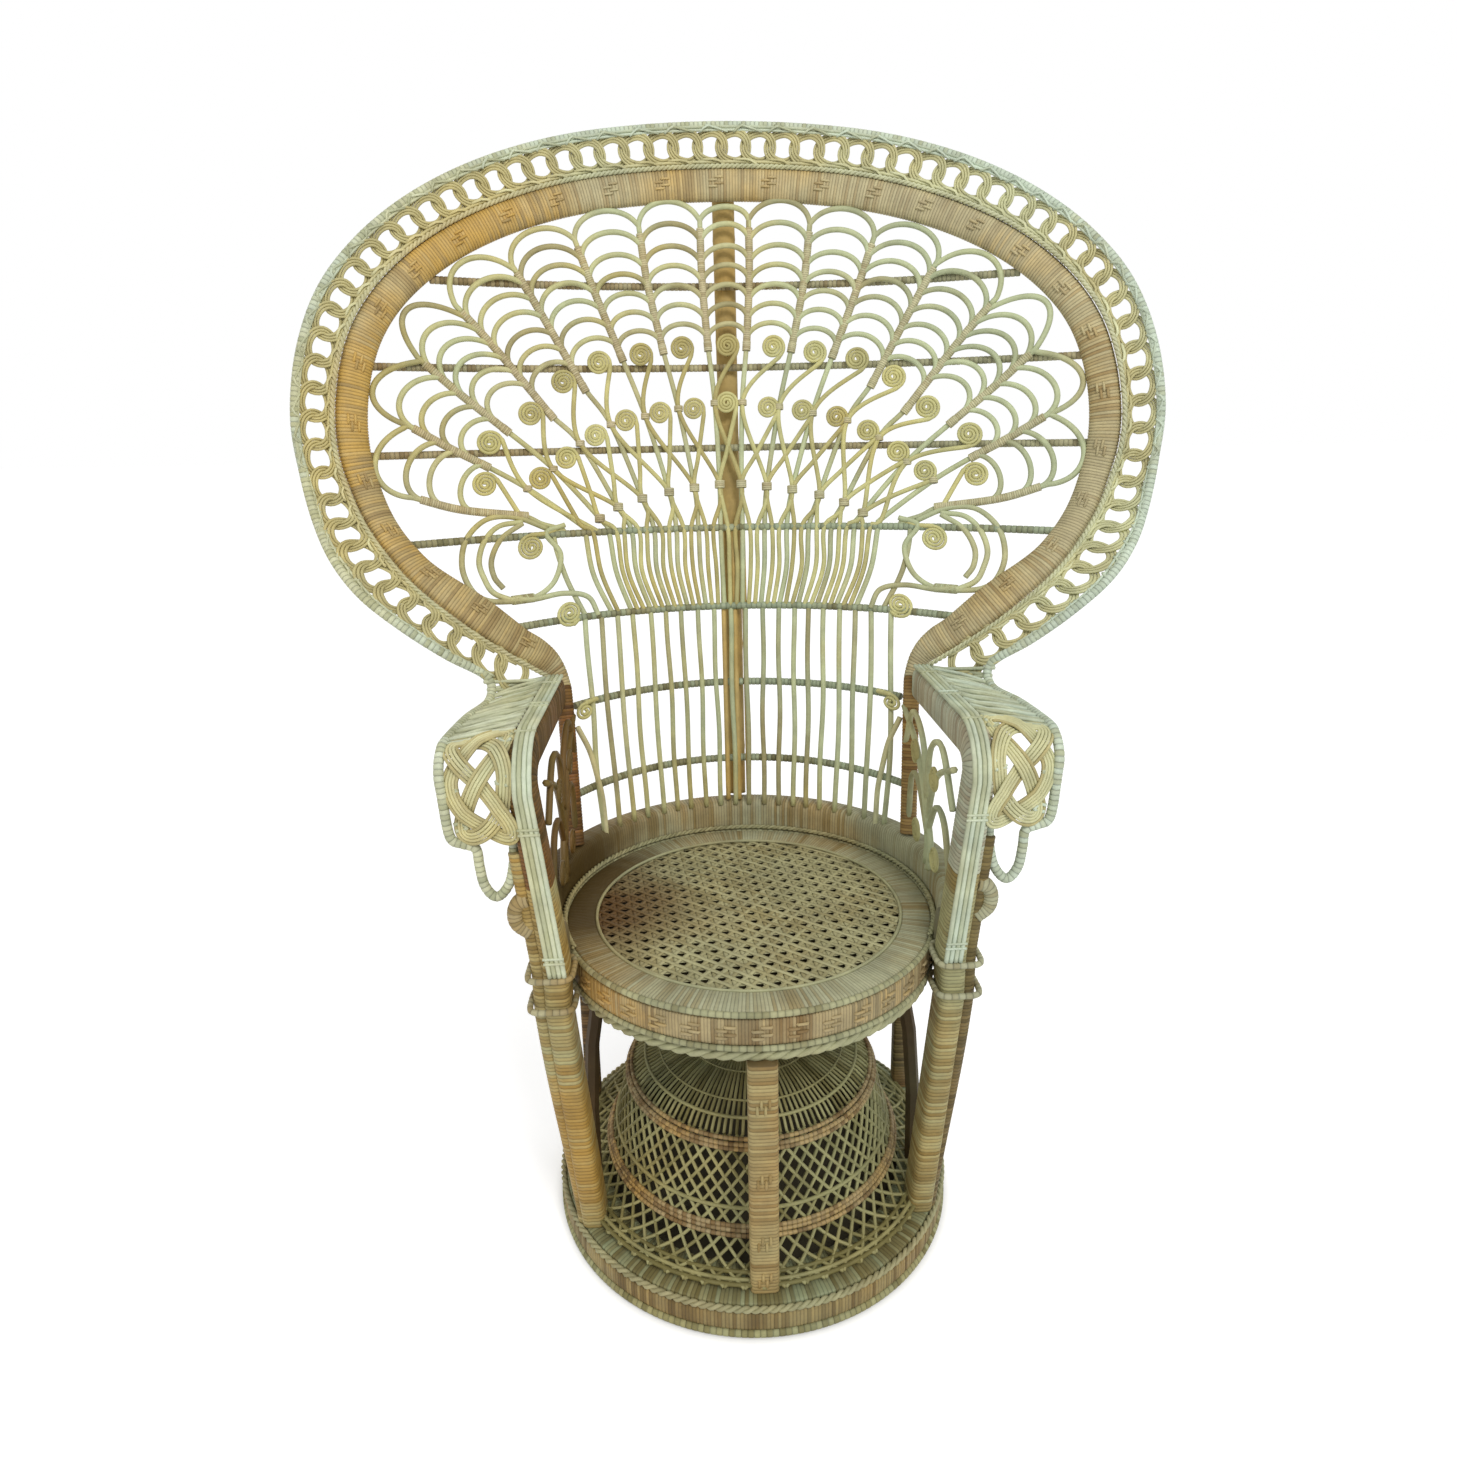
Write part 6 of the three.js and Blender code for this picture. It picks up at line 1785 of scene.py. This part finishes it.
# A dark sheet under the cane: painted shade seen through the holes
top, bottom = CANE_LEVEL - 0.005, CANE_LEVEL - 0.006
inner, outer = 0.004, CANE_RADIUS - 0.001
rings = [circle(r, z, 96) for r, z in ((inner, top), (outer, top), (outer, bottom), (inner, bottom))]
sheet = Strands()
sheet.loft(np.array(rings), closed=True)
sheet.finish("seat_underside", PAINTED_SHADE_SHEET, (), "cane")

# %% [markdown]
# ### The curb
# Behind the seat a wound curb closes the gap to the back, from one arm round to the other, and a
# thin braid lies in the corner at its foot. Both are rings with a start and an end.

# %% Curb behind the seat, and its braid
CURB_START = ARM_AZIMUTH + 0.03
CURB_END = 2 * math.pi - CURB_START
CURB_TURN = 0.0046
BRAID_RADIUS, BRAID_TWIST = 0.0036, 0.016

low, high = node_box("back_curb")
outline = rounded(SEAT_RADIUS + 0.0003, (high[0] - low[0]) / 2, low[2], high[2], 16, 0.35)
strands = Strands()
wound_ring(strands, outline, CURB_TURN, SEAT_GROOVE, CURB_START, CURB_END)
strands.finish("curb_wrapping", SEAT, ["back_curb"], "wrapped")
braid = Strands()
line = circle(SEAT_RADIUS - 0.0038, SEAT_HEIGHT + 0.0042, 300, CURB_START, CURB_END)
braid.twisted(line, BRAID_RADIUS, 2, BRAID_TWIST)
braid.finish("curb_braid_twist", SEAT_BEAD, ["curb_braid"], "pale")

# %% [markdown]
# ## The posts
# A wrapped post with four patches stands in front under the seat, and two more stand behind. They
# are upright bars, so the box of each node gives the section and both ends. The frame under the
# cane and the bent braces lie in shade; they keep the model's mesh and only get a finish.

# %% Posts, braces and the frame under the seat
POST_TURN, POST_GROOVE = 0.0045, 0.0006
POST_PATCH_SHARES = (0.17, 0.49, 0.77, 0.94)


def upright_bar(strands, name):
    low, high = node_box(name)
    x, y = (low[0] + high[0]) / 2, (low[1] + high[1]) / 2 - SEAT_AXIS_Y
    half_u = np.tile([(high[0] - low[0]) / 2, 0, 0], (2, 1))
    half_v = np.tile([0, (high[1] - low[1]) / 2, 0], (2, 1))
    centre = np.array([[x, y, low[2]], [x, y, high[2]]])
    station, length = station_between(section_rows(centre, half_u, half_v, 14, 0.4))
    strands.wrapped(station, length, POST_TURN, POST_GROOVE)


strands = Strands()
upright_bar(strands, "front_post")
low, high = node_box("front_post")
for share in POST_PATCH_SHARES:
    z = lerp(high[2], low[2], share)
    place = np.array([(low[0] + high[0]) / 2, low[1] - SEAT_AXIS_Y + 0.0004, z])
    woven_patch(strands, place, UP, np.array([1, 0, 0]), np.array([0, -1, 0]), 0.0105)
strands.finish("front_post_wrapping", POST, ["front_post"], "wrapped")

for name in ("rear_post_left", "rear_post_right"):
    strands = Strands()
    upright_bar(strands, name)
    strands.finish(f"{name}_wrapping", SHADED, [name], "shaded")

for frame_name in ("seat_frame", "seat_cross_bars", "arch_brace_left", "arch_brace_right"):
    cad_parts[frame_name].data.materials[0] = SHADED
    print(frame_name, "keeps its mesh")

# %% [markdown]
# ## The base
# The chair stands on one wound reed. Above it come a wrapped band, a twisted bead and a woven deck
# that carries the dome. They are rings like those of the seat.

# %% Floor reed, band, bead and deck
FLOOR_REED_RADIUS, FLOOR_REED_TURN = 0.005, 0.007
BASE_GROOVE = 0.0006
BASE_BAND_DEPTH = 0.011
BASE_BEAD_RADIUS, BASE_BEAD_TWIST = 0.0042, 0.02
DECK_WIDTH, DECK_TURN = 0.054, 0.0048

radius, low, high = ring_size("base_floor_cane")
floor_reed = Strands()
ring = circle(radius - 0.0052, FLOOR_REED_RADIUS)
wound_reed(floor_reed, ring, FLOOR_REED_RADIUS, FLOOR_REED_TURN, 0.0004)
floor_reed.finish("base_floor_reed", FLOOR_REED, ["base_floor_cane"], "base")
radius, low, high = ring_size("base_band")
band = Strands()
outline = rounded(radius - BASE_BAND_DEPTH, radius, low, high, 10, 0.35)
wound_ring(band, outline, BAND_TURN, BASE_GROOVE)
band.finish("base_band_wrapping", BASE, ["base_band"], "base")
radius, low, high = ring_size("base_top_cane")
bead = Strands()
ring = circle(radius - 0.0046, (low + high) / 2, 400)
bead.twisted(ring, BASE_BEAD_RADIUS, 2, BASE_BEAD_TWIST, closed=True)
bead.finish("base_top_bead", SEAT_BEAD, ["base_top_cane"], "pale")
radius, low, high = ring_size("base_deck")
deck = Strands()
outline = rounded(radius - DECK_WIDTH, radius, low, high, 12, 0.25)
wound_ring(deck, outline, DECK_TURN, BASE_GROOVE)
deck.finish("base_deck_weave", DECK, ["base_deck"], "base")

# %% [markdown]
# ## The dome
# Under the seat stands a woven dome. Pairs of reeds run down from its crown to a band, where they
# part into a diamond mesh. A wireframe of a turned shape would give the diamonds, but no bar would
# cross over another. So each reed is a path on a profile of radii and heights: a share of the way
# down, and a turn.

# %% The dome's surface
DOME_PROFILE = np.array([(0.012, 0.2235), (0.06, 0.2185), (0.11, 0.205), (0.147, 0.187),
                         (0.16, 0.172), (0.172, 0.13), (0.178, 0.1), (0.187, 0.078),
                         (0.2, 0.062), (0.218, 0.053), (0.238, 0.0495)])
DOME_LENGTHS = lengths(DOME_PROFILE)


def dome_point(share, turn):
    radius, z = resample(DOME_PROFILE, np.asarray(share) * DOME_LENGTHS[-1]).T
    return np.stack([radius * np.sin(turn), -radius * np.cos(turn), z], axis=1)


def share_at(z):
    return float(np.interp(-z, -DOME_PROFILE[:, 1], DOME_LENGTHS) / DOME_LENGTHS[-1])


def dome_ring(z, count, outward=0.0):
    """A level ring on the dome, moved out from it a little."""
    ring = dome_point(np.full(count, share_at(z)), 2 * np.pi * np.arange(count) / count)
    ring[:, :2] *= 1 + outward / np.linalg.norm(ring[:, :2], axis=1)[:, None]
    return ring


print("a reed of the dome is", round(float(DOME_LENGTHS[-1]), 3), "m long from crown to foot")

# %% [markdown]
# ### Reeds and rings of the dome
# Sixty-four pairs of reeds make the mesh. Thin rings hold them near the crown, halfway down and at
# the foot, and two bands of three wound reeds go round, at the top of the mesh and near its foot.

# %% Dome of crossed reeds
DOME_PAIRS = 64
DOME_REED = 0.0022
CROWN_STEP = math.pi / DOME_PAIRS / 2
PART_TURN = 0.76
PARTING = 0.18
# Height and radius of each ring
DOME_RINGS = ((0.192, 0.0022), (0.102, 0.0024), (0.053, 0.0026), (0.0515, 0.0026), (0.0505, 0.0026))
CROWN_RINGS, CROWN_REED = (0.212, 0.2), 0.0014
DOME_BANDS = (0.178, 0.1735, 0.169, 0.084, 0.0795, 0.075)
DOME_BAND_REED, DOME_BAND_TURN = 0.0027, 0.006

strands = Strands()
parting = share_at(PARTING)
t = np.linspace(0, 1, 12)
for turn in 2 * np.pi * np.arange(DOME_PAIRS) / DOME_PAIRS:
    for hand in (-1, 1):
        upper = dome_point(t * parting, turn + hand * CROWN_STEP)
        strands.tube(upper, DOME_REED * 0.9, 5, face=UP)
        lower = dome_point(parting + t * (1 - parting), turn + hand * (CROWN_STEP + PART_TURN * t))
        strands.tube(lower, DOME_REED, 5, face=UP)
for z, radius in DOME_RINGS:
    strands.tube(dome_ring(z, 160, 0.002), radius, 6, face=UP, closed=True)
for z in CROWN_RINGS:
    strands.tube(dome_ring(z, 120) + [0, 0, 0.001], CROWN_REED, 5, face=UP, closed=True)
strands.finish("dome_weave", DOME, ["dome_skirt"], "shaded")

bands = Strands()
for z in DOME_BANDS:
    wound_reed(bands, dome_ring(z, 160, 0.0026), DOME_BAND_REED, DOME_BAND_TURN, 0.0004, sides=6)
bands.finish("dome_bands", APRON, (), "shaded")

# %% [markdown]
# ## Ties round the arm posts
# Level with the seat's two beads, a wound reed goes round each arm and its outer column and binds
# them to the seat. Each is a closed reed round a soft rectangle, so that it lies close to both.

# %% Tie rings
TIE_HEIGHTS = (SEAT_HEIGHT - 0.004, 0.354)
TIE_REED, TIE_CORNERS = 0.0036, 48

strands = Strands()
x, y = STATIONS[2][:2]
outline = rounded(x - 0.004, x + ARM_THICKNESS + 0.0165, y - 0.0045, y + ARM_WIDTH + 0.004,
                  TIE_CORNERS, 0.45)
for side in (-1, 1):
    for z in TIE_HEIGHTS:
        ring = np.stack([side * outline[:, 0], outline[:, 1], np.full(TIE_CORNERS, z)], axis=1)
        wound_reed(strands, ring, TIE_REED, SEAT_BEAD_TURN, 0.0003)
strands.finish("post_ties", SEAT, (), "pale")

# %% [markdown]
# ## Floor and world
# The photograph has a white ground. A plain white floor turns grey in the shade of the chair, and
# one that glows would light the chair from below. So floor and world are brighter only where the
# camera sees them. Under the base the floor gets a painted shadow: it is dark and does not glow,
# because no white shows through the woven dome in the photograph.

# %% White ground
FLOOR_SIZE = 40
FLOOR_WHITE = (0.9, 0.9, 0.9, 1)
FLOOR_GLOW = 0.42
# Painted shadow: the colour of the floor under the base
PAINTED_SHADOW_UNDER_CHAIR = (0.08, 0.07, 0.045, 1)
SKY_LIGHT = 0.72
WHITE = (1, 1, 1, 1)


def seen_directly(tree):
    """1 for rays from the camera, and for those that come by way of mirrors and glass."""
    path = add_node(tree, "ShaderNodeLightPath").outputs
    seen = maths(tree, "MAXIMUM", path["Is Camera Ray"], path["Is Glossy Ray"])
    return maths(tree, "MAXIMUM", seen, path["Is Transmission Ray"])


def floor_material():
    material = bpy.data.materials.new("white_floor")
    material.use_nodes = True
    tree = material.node_tree
    place = object_place(tree)
    centred = add_node(tree, "ShaderNodeVectorMath", {0: place, 1: (0, -SEAT_AXIS_Y, 0)}, operation="ADD")
    away = add_node(tree, "ShaderNodeVectorMath", {0: centred.outputs[0]}, operation="LENGTH")
    # inside the base the floor gets the painted shadow colour and no glow
    outside = ramp(tree, away.outputs["Value"], BASE_RADIUS * 0.9, BASE_RADIUS * 1.05)
    glow = maths(tree, "MULTIPLY", maths(tree, "MULTIPLY", seen_directly(tree), FLOOR_GLOW), outside)
    fill(tree, tree.nodes["Principled BSDF"], {
        "Base Color": mix_colour(tree, outside, PAINTED_SHADOW_UNDER_CHAIR, FLOOR_WHITE), "Roughness": 1.0,
        "Specular IOR Level": 0.0, "Emission Color": WHITE, "Emission Strength": glow})
    return material


mesh = bpy.data.meshes.new("floor")
corners = [(-1, -1), (1, -1), (1, 1), (-1, 1)]
mesh.from_pydata([(x * FLOOR_SIZE, y * FLOOR_SIZE, 0) for x, y in corners], [], [(0, 1, 2, 3)])
mesh.materials.append(floor_material())
floor = bpy.data.objects.new("floor", mesh)
show(floor)
print("the floor is", 2 * FLOOR_SIZE, "m wide")

world = bpy.data.worlds.new("studio")
bpy.context.scene.world = world
world.use_nodes = True
tree = world.node_tree
strength = spread(tree, seen_directly(tree), SKY_LIGHT, 1.0)
fill(tree, tree.nodes["Background"], {"Color": WHITE, "Strength": strength})

# %% [markdown]
# ## Lamps
# The photograph has soft light from the front and above, and weak shadows. One lamp gives the main
# light, and a wider, weaker one on the left fills the shadows. Each is aimed at the chair by
# turning it, as a constraint would be one thing more to export.

# %% Two soft lamps
def lamp(name, place, target, size, power):
    data = bpy.data.lights.new(name, "AREA")
    data.size = size
    data.energy = power
    light = bpy.data.objects.new(name, data)
    show(light)
    light.location = place
    light.rotation_euler = (Vector(target) - Vector(place)).to_track_quat("-Z", "Y").to_euler()


lamp("key", (0.8, -2.5, 2.9), (0, 0, 0.8), 0.9, 52)
lamp("fill", (-2.4, -1.6, 1.4), (0, 0, 0.7), 2.4, 8)
bpy.context.scene.view_settings.view_transform = "Standard"
print(len(bpy.data.lights), "lamps")
